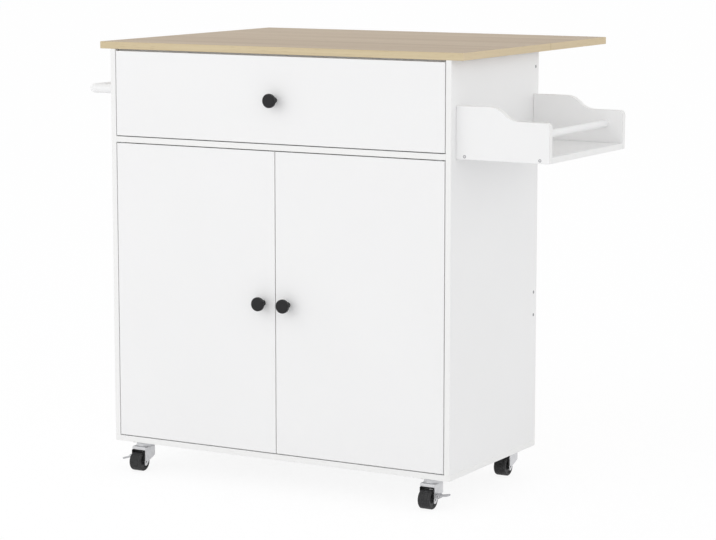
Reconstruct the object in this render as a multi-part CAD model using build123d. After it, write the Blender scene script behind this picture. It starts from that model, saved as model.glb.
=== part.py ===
from build123d import *
import os
from math import asin, cos, degrees, radians, sin, sqrt

# Rolling kitchen cart with a drawer, two doors, a spice rack, a towel bar and a drop leaf.
# Millimetres, +Z up, front towards -Y. Sizes are worked out in the cabinet's own frame, with
# X = 0 at its left side, Y = 0 at its front and Z = 0 under its bottom board. Each piece is
# moved at the end, so that the origin lies on the floor below the middle of the whole cart.

# Carcass
board = 12.0                 # thickness of every white board
cabinet_width = 808.0
cabinet_depth = 396.0
cabinet_height = 840.0       # from under the bottom board to under the worktop
reveal = 2.0                 # gap round the doors and beside the drawer front
top_reveal = 4.0             # gap between the drawer front and the worktop
drawer_space = 184.0         # between the divider board and the worktop
back_recess = 8.0            # rear edges of the side panels stand this far behind the back boards
back_joint = 308.0           # height at which the two back boards meet
front_stretcher_depth = 60.0
rear_stretcher_height = 60.0
edge_round = 0.6             # rounding along the edges of the white boards
seat_gap = 0.3               # gap between pieces of different bodies that rest on each other
cut_margin = 1.0             # a cut reaches this far past what it cuts

# Shelf
shelf_base = 318.0
shelf_setback = 24.0         # from the cabinet's front to the shelf's front edge
shelf_play = 1.0
pin_radius = 2.5
pin_in_panel = 8.0
pin_under_shelf = 9.0
pin_row_pitch = 64.0
pin_inset = 64.0             # from the cabinet's front and rear to the rows of pin holes
hole_play = 0.05             # radial play of a pin or a screw in its hole

# Worktop and drop leaf
worktop_thickness = 15.0
worktop_overhang = 26.0
seam_setback = 3.0           # the seam stands this far behind the side panels
seam_gap = 1.0
leaf_length = 281.5
worktop_round = 0.8

# Leaf hinges
knuckle_radius = 3.6
hinge_pin_radius = 1.5
wing_thickness = 1.3
wing_width = 20.0
hinge_length = 60.0
hinge_inset = 110.0          # middle of an end hinge from the cabinet's side
knuckle_count = 5
knuckle_gap = 0.4
running_play = 0.05          # radial play of a shaft that turns in its hole

# Folding stays under the leaf
stay_beyond_hinge = 70.0     # from the middle of an end hinge to the middle of a stay
stay_reach = 120.0           # from the hinge axis to the upper pivot
stay_length = 200.0          # between the strut's pivot and its foot
strut_width = 9.0
strut_thickness = 3.0
foot_width = 8.0
channel_gauge = 1.5
channel_depth = 12.0
channel_margin = 8.0         # channel beyond the foot's two end positions
bracket_gauge = 1.5
bracket_length = 30.0
bracket_width = 16.0
rivet_radius = 2.0
rivet_head = 3.5

# Drawer
slide_space = 12.7           # between the cabinet side and the drawer side
slide_setback = 4.0          # slides start this far behind the drawer's front board
slide_rear_gap = 10.0        # between the slides and the back board
slide_height = 35.0
slide_rise = 29.0            # middle of the slides above the lower edge of the drawer's box
slide_gauge = 1.2
slide_flange = 9.0
race_gap = 3.6               # between the two members' flanges, where the balls run
ball_radius = 1.5
ball_pitch = 15.0
cage_gauge = 0.6
cage_web_play = 0.6          # between the cage and the cabinet member's web
cage_tip_gap = 1.2           # between the cage and the drawer member's flanges
cage_end_gap = 1.0           # cage short of the slides' ends with the drawer out
cage_border = 10.0           # from an end of the cage to its first ball
drawer_travel = 250.0
drawer_box_lift = 20.0       # lower edge of the box above the divider board
drawer_box_headroom = 22.0   # upper edge of the box below the front stretcher
drawer_box_rear_gap = 2.0    # between the box and the rear stretcher
drawer_bottom_thickness = 3.0
drawer_bottom_lift = 8.0     # from the box's lower edge to the bottom sheet
groove_depth = 5.0
groove_play = 0.1

# Knobs
knob_reach = 26.0
knob_disc_radius = 14.5
knob_disc_thickness = 9.0
knob_rim_round = 3.0
knob_neck_radius = 5.3
knob_base_radius = 6.2
knob_thread = 13.0           # the screw reaches this far into its knob
knob_screw_radius = 2.0
knob_screw_head = 4.5
knob_screw_head_height = 2.5
knob_inset = 28.6            # from a door's free edge to its knob

# Door pivots and catch
pivot_inset = 12.0           # from a door's hinge edge to its pivot axis
pivot_radius = 2.5
pivot_in_door = 12.0
pivot_in_board = 8.0
bushing_radius = 4.0
bushing_flange_radius = 6.0
catch_width = 46.0
catch_depth = 15.0
catch_height = 14.0
catch_round = 2.0
strike_spread = 11.5         # from the cabinet's middle to the middle of a strike plate
strike_width = 14.0
strike_height = 30.0
strike_thickness = 1.0

# Spice rack
rack_setback = 21.0          # from the cabinet's front to the rack's front panel
rack_rear_setback = 13.0     # from the cabinet's rear to the rack's back panel
rack_projection = 203.0
rack_drop = 195.0            # from under the worktop to under the rack
rack_high = 105.5            # height of the panels beside the cabinet
rack_low = 79.0              # height of their outer part
rack_curve_start = 73.0
rack_curve_length = 64.0
rack_corner = 9.0
rail_radius = 7.5
rail_end_inset = 39.0        # from the rack's outer end to the middle of its rail
rail_height = 51.0
rail_socket = 6.0
rack_screw_in = 19.0         # from the cabinet's side to the first screw in the rack's shelf
rack_screw_end = 21.0        # from the rack's outer end to the last screw in its shelf
rack_fixing_low = 26.0       # lower screw that holds a rack panel, above the panel's lower edge
rack_fixing_high = 85.0

# Towel bar
bar_radius = 9.5
bar_wall = 1.5
bar_drop = 87.7              # from under the worktop to the middle of the bar
bar_inset = 35.0             # from the cabinet's front and rear to the bar's ends
bar_out = 75.0
bar_bend = 18.0
bar_end_wall = 8.0
bar_bolt_radius = 2.5
bar_bolt_head = 5.0
bar_bolt_head_height = 3.0

# Screws
screw_radius = 2.0
screw_head_radius = 3.5
screw_head_height = 2.0
screw_length = 34.0
screw_under_joint = 24.5     # panel screws below and above the joint of the back boards
screw_above_joint = 24.0
screw_under_top = 33.0       # highest panel screw below the worktop
cam_radius = 7.5
cam_depth = 8.0
cam_inset = 24.0

# Casters
wheel_radius = 20.0
wheel_width = 27.0
tyre_thickness = 5.0
tyre_round = 2.5
wheel_side_gap = 1.5         # between the wheel and a side of its fork
wheel_top_gap = 5.0          # between the wheel and the lip of its fork
wheel_inset = 53.7           # from the cabinet's side to the middle of a wheel
caster_trail = 21.6          # from the swivel axis to the axle, towards the front
front_swivel = 32.0
rear_swivel_inset = 20.6     # from the cabinet's rear to the rear swivel axes
plate_size = 40.0
plate_thickness = 2.5
plate_hole_pitch = 31.5
race_radius = 18.0           # of the bearing cup under the plate, inside the plate's screws
race_clearance = 0.4
king_pin_radius = 4.0
king_pin_head = 6.5
fork_gauge = 2.0
fork_bend = 1.5              # outer radius of the folds of a fork's sheet
fork_top = 13.0              # from under the board to the underside of the fork's crown
fork_behind = 13.0           # from the swivel axis to the fork's rear edge
fork_lip = 5.0
fork_nose = 2.0              # the fork's front edge before its axle
fork_heel_rise = 10.0        # lower end of the fork's rear edge above its axle
fork_waist_behind = 1.0      # the waist is this far behind the swivel axis
fork_waist_rise = 4.5
fork_throat_behind = 12.75   # the throat is this far behind the axle
fork_throat_rise = 1.5
fork_tip_behind = 5.0        # the rounded tip starts this far behind the axle
fork_tip_drop = 6.9
fork_tip_low = 8.5           # lowest point of the fork below its axle
axle_radius = 3.0
axle_head = 4.2
axle_head_height = 0.5
caster_screw_radius = 2.0
caster_screw_length = 9.0

# Brake levers of the two front casters
lever_axis_rise = 7.4        # the lever's axis above the wheel's axle
lever_hub_front = -21.0      # front end of the lever's hub, from the swivel axis
lever_hub_rear = -9.0
lever_hub_radius = 5.0
lever_ear_radius = 3.0
lever_pedal_reach = 24.2     # from the lever's axis to the tip of the pedal
lever_rise = 4.1             # tip of the released pedal above the lever's axis
lever_pedal_gauge = 3.5
lever_pedal_corner = 4.0
lever_pin_radius = 1.5
lever_ear_gauge = 2.0
lever_swing = 28.0

# Places worked out from the sizes
back_face = cabinet_depth - back_recess
back_front = back_face - board
inner_left = board
inner_right = cabinet_width - board
middle = cabinet_width / 2
divider_top = cabinet_height - drawer_space
divider_base = divider_top - board
pin_rows = (pin_inset, cabinet_depth - pin_inset)
screw_heights = (back_joint - screw_under_joint, back_joint + screw_above_joint,
                 cabinet_height - screw_under_top)
front_left = inner_left + reveal
front_right = inner_right - reveal
door_base = board + reveal
door_top = divider_base - reveal
door_middle = (door_base + door_top) / 2
drawer_front_base = divider_top + reveal
drawer_front_top = cabinet_height - top_reveal
drawer_knob_height = (drawer_front_base + drawer_front_top) / 2
seam = cabinet_depth + seam_setback
leaf_front = seam + seam_gap / 2
leaf_back = leaf_front + leaf_length
worktop_back = seam - seam_gap / 2
hinge_axis = cabinet_height - knuckle_radius - knuckle_gap
worktop_top = cabinet_height + worktop_thickness
strut_end = strut_width / 2
foot_line = back_face + channel_gauge + seat_gap + strut_end
stay_pivot_y = seam + stay_reach
stay_pivot_z = hinge_axis - (seam - foot_line)
stay_lean = degrees(asin((stay_pivot_y - foot_line) / stay_length))
foot_rest = stay_pivot_z - stay_length * cos(radians(stay_lean))
foot_low = hinge_axis - stay_reach - stay_length
stay_inset = hinge_inset + stay_beyond_hinge
stay_middles = (stay_inset, cabinet_width - stay_inset)
hinge_middles = (hinge_inset, middle, cabinet_width - hinge_inset)
drawer_left = inner_left + slide_space
drawer_right = inner_right - slide_space
drawer_box_base = divider_top + drawer_box_lift
drawer_box_top = cabinet_height - board - drawer_box_headroom
drawer_box_back = back_front - board - drawer_box_rear_gap
slide_middle = drawer_box_base + slide_rise
slide_front = board + slide_setback
slide_back = back_front - slide_rear_gap
cage_length = slide_back - slide_front - drawer_travel - 2 * cage_end_gap
ball_count = int((cage_length - 2 * cage_border) / ball_pitch) + 1
rack_base = cabinet_height - rack_drop
rack_back = cabinet_depth - rack_rear_setback
rack_outer = cabinet_width + rack_projection
rail_x = rack_outer - rail_end_inset
bar_height = cabinet_height - bar_drop
bar_ends = (bar_inset, cabinet_depth - bar_inset)
fork_width = wheel_width + 2 * (wheel_side_gap + fork_gauge)
caster_height = fork_top + fork_lip + wheel_top_gap + 2 * wheel_radius
swivels = (front_swivel, cabinet_depth - rear_swivel_inset)
wheel_middles = (wheel_inset, cabinet_width - wheel_inset)
axle_drop = caster_height - wheel_radius
lever_axis_out = fork_width / 2 + axle_head_height + seat_gap + lever_hub_radius
lever_axis_drop = axle_drop - lever_axis_rise
left_extent = -bar_out - bar_radius
middle_x = (left_extent + rack_outer) / 2
middle_y = (leaf_back - knob_reach) / 2
origin_shift = Pos(-middle_x, -middle_y, caster_height)


def block(x0, x1, y0, y1, z0, z1):
    """A box between two corners."""
    size = Box(x1 - x0, y1 - y0, z1 - z0, align=(Align.MIN, Align.MIN, Align.MIN))
    return Pos(x0, y0, z0) * size


def soft_block(x0, x1, y0, y1, z0, z1, radius=edge_round):
    """A box with all its edges rounded."""
    box = block(x0, x1, y0, y1, z0, z1)
    return fillet(box.edges(), radius)


def rod_x(x0, x1, y, z, radius):
    """A round bar along X."""
    return Pos((x0 + x1) / 2, y, z) * Rot(0, 90, 0) * Cylinder(radius, x1 - x0)


def rod_y(x, y0, y1, z, radius):
    """A round bar along Y."""
    return Pos(x, (y0 + y1) / 2, z) * Rot(90, 0, 0) * Cylinder(radius, y1 - y0)


def rod_z(x, y, z0, z1, radius):
    """A round bar along Z."""
    return Pos(x, y, (z0 + z1) / 2) * Cylinder(radius, z1 - z0)


def mirror_across(shape):
    """The same shape on the other side of the cabinet's middle."""
    return mirror(shape, about=Plane.YZ.offset(middle))


def save(node, *solids):
    """Write the solids of one node, moved to the cart's frame."""
    placed = [origin_shift * solid for solid in solids]
    shape = placed[0] if len(placed) == 1 else Compound(children=placed)
    export_step(shape, "parts/" + node + ".step")


def panel_screw_places():
    """X of the head and height of each screw that holds a back board."""
    return [(x, height) for x in (0, cabinet_width) for height in screw_heights]


def side_screw(x, y, z, length=screw_length, slack=0.0):
    """A screw along X, driven inwards through a side panel, or its hole if slack is given."""
    inwards = 1 if x < middle else -1
    head = rod_x(min(x, x + inwards * screw_head_height), max(x, x + inwards * screw_head_height),
                 y, z, screw_head_radius + slack)
    tip = x + inwards * (length + slack)
    shank = rod_x(min(x, tip), max(x, tip), y, z, screw_radius + slack)
    return head + shank


def outward_screw(x, y, z, slack=0.0):
    """A screw along +X from inside the cabinet through the right side panel, or its hole."""
    head = rod_x(x, x + screw_head_height, y, z, screw_head_radius + slack)
    shank = rod_x(x, x + screw_length + slack, y, z, screw_radius + slack)
    return head + shank


def cam(x, y, z, slack=0.0):
    """A cam lock let into the underside of a board, or its pocket."""
    return rod_z(x, y, z, z + cam_depth + slack, cam_radius + slack)


def cam_places():
    """Where the divider board's cam locks sit."""
    columns = (inner_left + cam_inset, inner_right - cam_inset)
    return [(x, y, divider_base) for x in columns for y in pin_rows]


def pin_heights():
    """Heights of the three rows of shelf pin holes."""
    return [shelf_base - pin_radius + step * pin_row_pitch for step in (-1, 0, 1)]


def wing_recess(x):
    """The space in the boards under the worktop that a leaf hinge's fixed wing needs."""
    half = hinge_length / 2 + seat_gap
    return block(x - half, x + half, seam - wing_width - seat_gap, seam,
                 cabinet_height - wing_thickness - seat_gap, cabinet_height + cut_margin)


def build_carcass():
    """The white boards, the shelf and what fastens them."""
    bottom = soft_block(0, cabinet_width, 0, cabinet_depth, 0, board)
    for x, y in caster_places():
        for screw in caster_screw_places(x, y):
            bottom -= rod_z(*screw, -cut_margin, caster_screw_length, caster_screw_radius + hole_play)
    for x in pivot_columns():
        bottom -= pivot_socket(x, board, -1)
    left = soft_block(0, board, 0, cabinet_depth, board, cabinet_height)
    right = soft_block(inner_right, cabinet_width, 0, cabinet_depth, board, cabinet_height)
    screw_y = back_face - board / 2
    screws = [side_screw(x, screw_y, z) for x, z in panel_screw_places()]
    lower = block(inner_left, inner_right, back_front, back_face, board, back_joint)
    upper = block(inner_left, inner_right, back_front, back_face, back_joint, cabinet_height)
    for x, z in panel_screw_places():
        hole = side_screw(x, screw_y, z, slack=hole_play)
        left -= hole
        right -= hole
        lower -= hole
        upper -= hole
    rear_stretcher = block(inner_left, inner_right, back_front - board, back_front,
                           cabinet_height - rear_stretcher_height, cabinet_height)
    for x in hinge_middles:
        upper -= wing_recess(x)
        rear_stretcher -= wing_recess(x)
    pins = []
    for z in pin_heights():
        for y in pin_rows:
            left -= rod_x(inner_left - pin_in_panel, inner_left + cut_margin, y, z,
                          pin_radius + hole_play)
            right -= rod_x(inner_right - cut_margin, inner_right + pin_in_panel, y, z,
                           pin_radius + hole_play)
    seat = shelf_base - pin_radius
    for y in pin_rows:
        pins.append(rod_x(inner_left - pin_in_panel, inner_left + pin_under_shelf, y, seat, pin_radius))
        pins.append(rod_x(inner_right - pin_under_shelf, inner_right + pin_in_panel, y, seat,
                          pin_radius))
    for y in bar_ends:
        left -= towel_bolt(y, hole_play)
    for screw in rack_fixing_places():
        right -= outward_screw(*screw, slack=hole_play)
    divider = soft_block(inner_left, inner_right, 0, back_front, divider_base, divider_top)
    for place in cam_places():
        divider -= cam(*place, slack=hole_play)
    for x in pivot_columns():
        divider -= pivot_socket(x, divider_base, 1)
    shelf = soft_block(inner_left + shelf_play, inner_right - shelf_play, shelf_setback,
                       back_front - shelf_play, shelf_base, shelf_base + board)
    front_start = board + reveal
    front_stretcher = block(inner_left, inner_right, front_start,
                            front_start + front_stretcher_depth, cabinet_height - board,
                            cabinet_height)
    save("bottom_board", bottom)
    save("left_side_panel", left)
    save("right_side_panel", right)
    save("lower_back_board", lower)
    save("upper_back_board", upper)
    save("divider_board", divider)
    save("front_top_stretcher", front_stretcher)
    save("rear_top_stretcher", rear_stretcher)
    save("shelf", shelf)
    save("shelf_pins", *pins)
    save("panel_screws", *screws)
    save("cam_locks", *[cam(*place) for place in cam_places()])


def build_worktop():
    """The oak board over the cabinet, and the drop leaf behind its seam."""
    left = -worktop_overhang
    right = cabinet_width + worktop_overhang
    top = soft_block(left, right, 0, worktop_back, cabinet_height, worktop_top, worktop_round)
    leaf = soft_block(left, right, leaf_front, leaf_back, cabinet_height, worktop_top, worktop_round)
    save("worktop", top)
    save("drop_leaf", leaf)


def hinge_half(x, first, side):
    """One wing of a leaf hinge with its knuckles. side is +1 behind the axis and -1 before it."""
    start = x - hinge_length / 2
    pitch = hinge_length / knuckle_count
    near = seam
    far = seam + side * wing_width
    under = cabinet_height - wing_thickness
    half = block(start, start + hinge_length, min(near, far), max(near, far), under, cabinet_height)
    for index in range(knuckle_count):
        low = start + index * pitch
        high = low + pitch
        if index % 2 == first:
            barrel = rod_x(low + knuckle_gap / 2, high - knuckle_gap / 2, seam, hinge_axis,
                           knuckle_radius)
            half += barrel
        else:
            clear = seam + side * (knuckle_radius + knuckle_gap)
            behind = seam - side * cut_margin
            half -= block(low - knuckle_gap / 2, high + knuckle_gap / 2, min(behind, clear),
                          max(behind, clear), under - cut_margin, cabinet_height + cut_margin)
    bore = rod_x(start - cut_margin, start + hinge_length + cut_margin, seam, hinge_axis,
                 hinge_pin_radius + running_play)
    return half - bore


def hinge_pin(x):
    """The pin of one leaf hinge."""
    return rod_x(x - hinge_length / 2, x + hinge_length / 2, seam, hinge_axis, hinge_pin_radius)


def stay_bracket(x, side):
    """The angle bracket under the leaf that carries a strut, and its rivet."""
    web = x + side * (strut_thickness / 2 + seat_gap)
    web_far = web + side * bracket_gauge
    foot_far = web + side * bracket_width
    y0 = stay_pivot_y - bracket_length / 2
    y1 = stay_pivot_y + bracket_length / 2
    low = stay_pivot_z - strut_end
    under = cabinet_height - bracket_gauge
    foot = block(min(web, foot_far), max(web, foot_far), y0, y1, under, cabinet_height)
    plate = block(min(web, web_far), max(web, web_far), y0, y1, low, cabinet_height)
    lower_edges = plate.edges().filter_by(Axis.X).sort_by(Axis.Z)[:2]
    plate = fillet(lower_edges, strut_end)
    hole = rod_x(x - bracket_width, x + bracket_width, stay_pivot_y, stay_pivot_z,
                 rivet_radius + running_play)
    outer = x - side * (strut_thickness / 2 + seat_gap)
    head_far = outer - side * bracket_gauge
    shank = rod_x(min(outer, web_far), max(outer, web_far), stay_pivot_y, stay_pivot_z, rivet_radius)
    head = rod_x(min(outer, head_far), max(outer, head_far), stay_pivot_y, stay_pivot_z, rivet_head)
    tail_far = web_far + side * bracket_gauge
    tail = rod_x(min(web_far, tail_far), max(web_far, tail_far), stay_pivot_y, stay_pivot_z,
                 rivet_head)
    return [foot + plate - hole, shank + head + tail]


def stay_strut(x):
    """A strut in its place with the leaf up: it leans from its pivot down to the channel."""
    pivot_end = Pos(x, 0, 0) * Rot(0, 90, 0) * Cylinder(strut_end, strut_thickness)
    foot_end = Pos(x, 0, -stay_length) * Rot(0, 90, 0) * Cylinder(strut_end, foot_width)
    half = strut_thickness / 2
    shank = block(x - half, x + half, -strut_end, strut_end, -stay_length, 0)
    hole = Pos(x, 0, 0) * Rot(0, 90, 0) * Cylinder(rivet_radius + running_play, foot_width)
    strut = pivot_end + foot_end + shank - hole
    return Pos(0, stay_pivot_y, stay_pivot_z) * Rot(-stay_lean, 0, 0) * strut


def wall_channel(x):
    """The channel on the back board in which a strut's foot runs."""
    half = foot_width / 2 + seat_gap
    outer = half + channel_gauge
    low = foot_low - channel_margin
    high = foot_rest + channel_margin
    whole = block(x - outer, x + outer, back_face, back_face + channel_depth, low, high)
    space = block(x - half, x + half, back_face + channel_gauge,
                  back_face + channel_depth + cut_margin, low - cut_margin, high + cut_margin)
    return whole - space


def build_leaf_fittings():
    """Hinges and folding stays of the drop leaf."""
    fixed = [hinge_half(x, 0, -1) for x in hinge_middles]
    pins = [hinge_pin(x) for x in hinge_middles]
    save("leaf_hinge_fixed_wings", *fixed)
    save("leaf_hinge_moving_wings", *[hinge_half(x, 1, 1) for x in hinge_middles])
    save("leaf_hinge_pins", *pins)
    left, right = stay_middles
    save("stay_brackets", *stay_bracket(left, -1), *stay_bracket(right, 1))
    save("stay_channels", *[wall_channel(x) for x in stay_middles])
    save("left_stay_strut", stay_strut(left))
    save("right_stay_strut", stay_strut(right))


def knob_profile():
    """Half section of a knob: a flared foot, a neck and a flat disc with soft edges."""
    disc_back = knob_reach - knob_disc_thickness
    rim = knob_rim_round
    with BuildSketch() as sketch:
        with BuildLine():
            Polyline((0, 0), (knob_base_radius, 0))
            flare = Bezier((knob_base_radius, 0), (knob_neck_radius, rim), (knob_neck_radius, disc_back))
            Line(flare @ 1, (knob_disc_radius - rim, disc_back))
            ThreePointArc((knob_disc_radius - rim, disc_back),
                          (knob_disc_radius - rim * (1 - sqrt(0.5)), disc_back + rim * (1 - sqrt(0.5))),
                          (knob_disc_radius, disc_back + rim))
            Line((knob_disc_radius, disc_back + rim), (knob_disc_radius, knob_reach - rim))
            ThreePointArc((knob_disc_radius, knob_reach - rim),
                          (knob_disc_radius - rim * (1 - sqrt(0.5)), knob_reach - rim * (1 - sqrt(0.5))),
                          (knob_disc_radius - rim, knob_reach))
            Polyline((knob_disc_radius - rim, knob_reach), (0, knob_reach), (0, 0))
        make_face()
    return sketch.sketch


def knob(x, z):
    """A knob on the front face, and the screw that holds it from behind."""
    turned = revolve(Plane.XZ * knob_profile(), Axis.Z)
    outwards = Pos(x, 0, z) * Rot(90, 0, 0)
    thread = rod_y(x, -knob_thread, board, z, knob_screw_radius)
    body = outwards * turned - rod_y(x, -knob_thread - hole_play, cut_margin, z,
                                     knob_screw_radius + hole_play)
    head = rod_y(x, board, board + knob_screw_head_height, z, knob_screw_head)
    return [body, thread + head]


def knob_hole(x, z):
    """The hole for a knob's screw through a front board."""
    return rod_y(x, -cut_margin, board + cut_margin, z, knob_screw_radius + hole_play)


def slide_outer():
    """The left slide's cabinet member: a channel that opens towards the drawer."""
    top = slide_middle + slide_height / 2
    low = slide_middle - slide_height / 2
    whole = block(inner_left, inner_left + slide_flange, slide_front, slide_back, low, top)
    space = block(inner_left + slide_gauge, inner_left + slide_flange + cut_margin,
                  slide_front - cut_margin, slide_back + cut_margin, low + slide_gauge,
                  top - slide_gauge)
    return whole - space


def cage_face():
    """X of the left cage's face towards the drawer."""
    return inner_left + slide_gauge + cage_web_play + cage_gauge


def slide_inner():
    """The left slide's drawer member: a smaller channel that opens towards the cabinet side."""
    half = slide_height / 2 - slide_gauge - race_gap
    start = cage_face() + cage_tip_gap
    whole = block(start, drawer_left, slide_front, slide_back, slide_middle - half,
                  slide_middle + half)
    space = block(start - cut_margin, drawer_left - slide_gauge, slide_front - cut_margin,
                  slide_back + cut_margin, slide_middle - half + slide_gauge,
                  slide_middle + half - slide_gauge)
    return whole - space


def slide_cage():
    """The left slide's ball cage with its two rows of balls."""
    row = slide_height / 2 - slide_gauge - race_gap / 2
    web = cage_face()
    reach = inner_left + slide_flange - slide_gauge
    start = slide_front + cage_end_gap + drawer_travel / 2
    end = start + cage_length
    cage = block(web - cage_gauge, web, start, end, slide_middle - row, slide_middle + row)
    for side in (-1, 1):
        edge = slide_middle + side * row
        cage += block(web - cage_gauge, reach, start, end, edge - cage_gauge / 2, edge + cage_gauge / 2)
        first = (start + end) / 2 - ball_pitch * (ball_count - 1) / 2
        for index in range(ball_count):
            ball = Pos((web + reach) / 2, first + index * ball_pitch, edge) * Sphere(ball_radius)
            cage += ball
    return cage


def build_drawer():
    """Drawer front, box, knob and slides."""
    front = soft_block(front_left, front_right, 0, board, drawer_front_base, drawer_front_top)
    bottom_base = drawer_box_base + drawer_bottom_lift
    sheet = block(drawer_left + board - groove_depth, drawer_right - board + groove_depth,
                  board - groove_depth, drawer_box_back - board + groove_depth, bottom_base,
                  bottom_base + drawer_bottom_thickness)
    groove = block(drawer_left + board - groove_depth - groove_play,
                   drawer_right - board + groove_depth + groove_play,
                   board - groove_depth - groove_play,
                   drawer_box_back - board + groove_depth + groove_play,
                   bottom_base - groove_play, bottom_base + drawer_bottom_thickness + groove_play)
    left = block(drawer_left, drawer_left + board, board, drawer_box_back, drawer_box_base,
                 drawer_box_top)
    back = block(drawer_left + board, drawer_right - board, drawer_box_back - board, drawer_box_back,
                 drawer_box_base, drawer_box_top)
    front = front - groove - knob_hole(middle, drawer_knob_height)
    save("drawer_front", front)
    save("drawer_left_side", left - groove)
    save("drawer_right_side", mirror_across(left) - groove)
    save("drawer_back", back - groove)
    save("drawer_bottom", sheet)
    save("drawer_knob", *knob(middle, drawer_knob_height))
    outer = slide_outer()
    inner = slide_inner()
    cage = slide_cage()
    save("slide_cabinet_members", outer, mirror_across(outer))
    save("slide_drawer_members", inner, mirror_across(inner))
    save("slide_ball_cages", cage, mirror_across(cage))


def pivot_columns():
    """X of the left and right door's pivot axis."""
    return (front_left + pivot_inset, front_right - pivot_inset)


def pivot_socket(x, face, inwards):
    """The blind hole in a board that holds a pivot bushing."""
    mouth = face - inwards * cut_margin
    root = face + inwards * (pivot_in_board + seat_gap)
    return rod_z(x, board / 2, min(mouth, root), max(mouth, root), bushing_radius + hole_play)


def bushing(x, face, inwards):
    """A flanged bushing let into the board above or below a door."""
    sleeve_end = face + inwards * (pivot_in_board + seat_gap)
    flange_end = face - inwards * (reveal - seat_gap)
    sleeve = rod_z(x, board / 2, min(face, sleeve_end), max(face, sleeve_end), bushing_radius)
    flange = rod_z(x, board / 2, min(face, flange_end), max(face, flange_end),
                   bushing_flange_radius - hole_play)
    bore_start = face - inwards * (reveal + cut_margin)
    bore_end = face + inwards * pivot_in_board
    bore = rod_z(x, board / 2, min(bore_start, bore_end), max(bore_start, bore_end),
                 pivot_radius + running_play)
    return sleeve + flange - bore


def pivot_pin(x, face, inwards):
    """A door's pivot pin, held in the door and turning in the bushing."""
    tip = face + inwards * (pivot_in_board - seat_gap)
    root = face - inwards * (reveal + pivot_in_door)
    return rod_z(x, board / 2, min(tip, root), max(tip, root), pivot_radius)


def pivot_hole(x, face, inwards):
    """The hole in a door's edge that holds its pivot pin."""
    root = face - inwards * (reveal + pivot_in_door)
    return rod_z(x, board / 2, min(face, root), max(face, root), pivot_radius)


def strike(x):
    """A catch's strike plate on the back of a door."""
    top = door_top - reveal
    return block(x - strike_width / 2, x + strike_width / 2, board, board + strike_thickness,
                 top - strike_height, top)


def build_doors():
    """Doors, knobs, pivots and the magnetic catch."""
    left_axis, right_axis = pivot_columns()
    left = soft_block(front_left, middle - reveal / 2, 0, board, door_base, door_top)
    right = mirror_across(left)
    left_knob = middle - reveal / 2 - knob_inset
    right_knob = cabinet_width - left_knob
    ends = ((board, -1), (divider_base, 1))
    for face, inwards in ends:
        left -= pivot_hole(left_axis, face, inwards)
        right -= pivot_hole(right_axis, face, inwards)
    save("left_door", left - knob_hole(left_knob, door_middle))
    save("right_door", right - knob_hole(right_knob, door_middle))
    save("left_door_knob", *knob(left_knob, door_middle))
    save("right_door_knob", *knob(right_knob, door_middle))
    save("left_door_pivots", *[pivot_pin(left_axis, *end) for end in ends])
    save("right_door_pivots", *[pivot_pin(right_axis, *end) for end in ends])
    save("pivot_bushings", *[bushing(x, *end) for x in pivot_columns() for end in ends])
    catch_front = board + strike_thickness + seat_gap
    body = block(middle - catch_width / 2, middle + catch_width / 2, catch_front,
                 catch_front + catch_depth, divider_base - catch_height, divider_base)
    save("magnetic_catch", fillet(body.edges().filter_by(Axis.Z), catch_round))
    save("left_strike_plate", strike(middle - strike_spread))
    save("right_strike_plate", strike(middle + strike_spread))


def rack_panel():
    """A side panel of the spice rack as a face in X and Z, with its sweeping upper edge."""
    drop = rack_high - rack_low
    turn = 2 * asin(drop / sqrt(drop ** 2 + rack_curve_length ** 2))
    radius = rack_curve_length / (2 * sin(turn))
    start = (rack_curve_start, rack_high)
    end = (rack_curve_start + rack_curve_length, rack_low)
    halfway = ((start[0] + end[0]) / 2, (start[1] + end[1]) / 2)
    crest = (start[0] + radius * sin(turn / 2), rack_high - radius * (1 - cos(turn / 2)))
    hollow = (end[0] - radius * sin(turn / 2), rack_low + radius * (1 - cos(turn / 2)))
    with BuildSketch() as sketch:
        with BuildLine():
            Polyline((0, 0), (0, rack_high), start)
            ThreePointArc(start, crest, halfway)
            ThreePointArc(halfway, hollow, end)
            Polyline(end, (rack_projection, rack_low), (rack_projection, 0), (0, 0))
        make_face()
        fillet(sketch.vertices().group_by(Axis.X)[-1].sort_by(Axis.Y)[-1], rack_corner)
    return sketch.sketch


def rack_board(y):
    """A side panel of the rack, from y backwards by one board thickness."""
    plane = Plane(origin=(cabinet_width, y, rack_base), x_dir=(1, 0, 0), z_dir=(0, -1, 0))
    return extrude(plane * rack_panel(), -board)


def rack_screw(x, y, z, side, slack=0.0):
    """A screw along Y through a rack panel into the shelf, or its hole. side points inwards."""
    head_end = y + side * screw_head_height
    tip = y + side * (screw_length + slack)
    head = rod_y(x, min(y, head_end), max(y, head_end), z, screw_head_radius + slack)
    shank = rod_y(x, min(y, tip), max(y, tip), z, screw_radius + slack)
    return head + shank


def rack_screw_places():
    """Where the screws that hold the rack's shelf start, and which way they go."""
    height = rack_base + board / 2
    columns = (cabinet_width + rack_screw_in, rack_outer - rack_screw_end)
    rows = ((rack_setback, 1), (rack_back, -1))
    return [(x, y, height, side) for x in columns for y, side in rows]


def rack_fixing_places():
    """Where the screws that hold the rack's panels to the cabinet start."""
    rows = (rack_setback + board / 2, rack_back - board / 2)
    heights = (rack_base + rack_fixing_low, rack_base + rack_fixing_high)
    return [(inner_right, y, z) for y in rows for z in heights]


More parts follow.
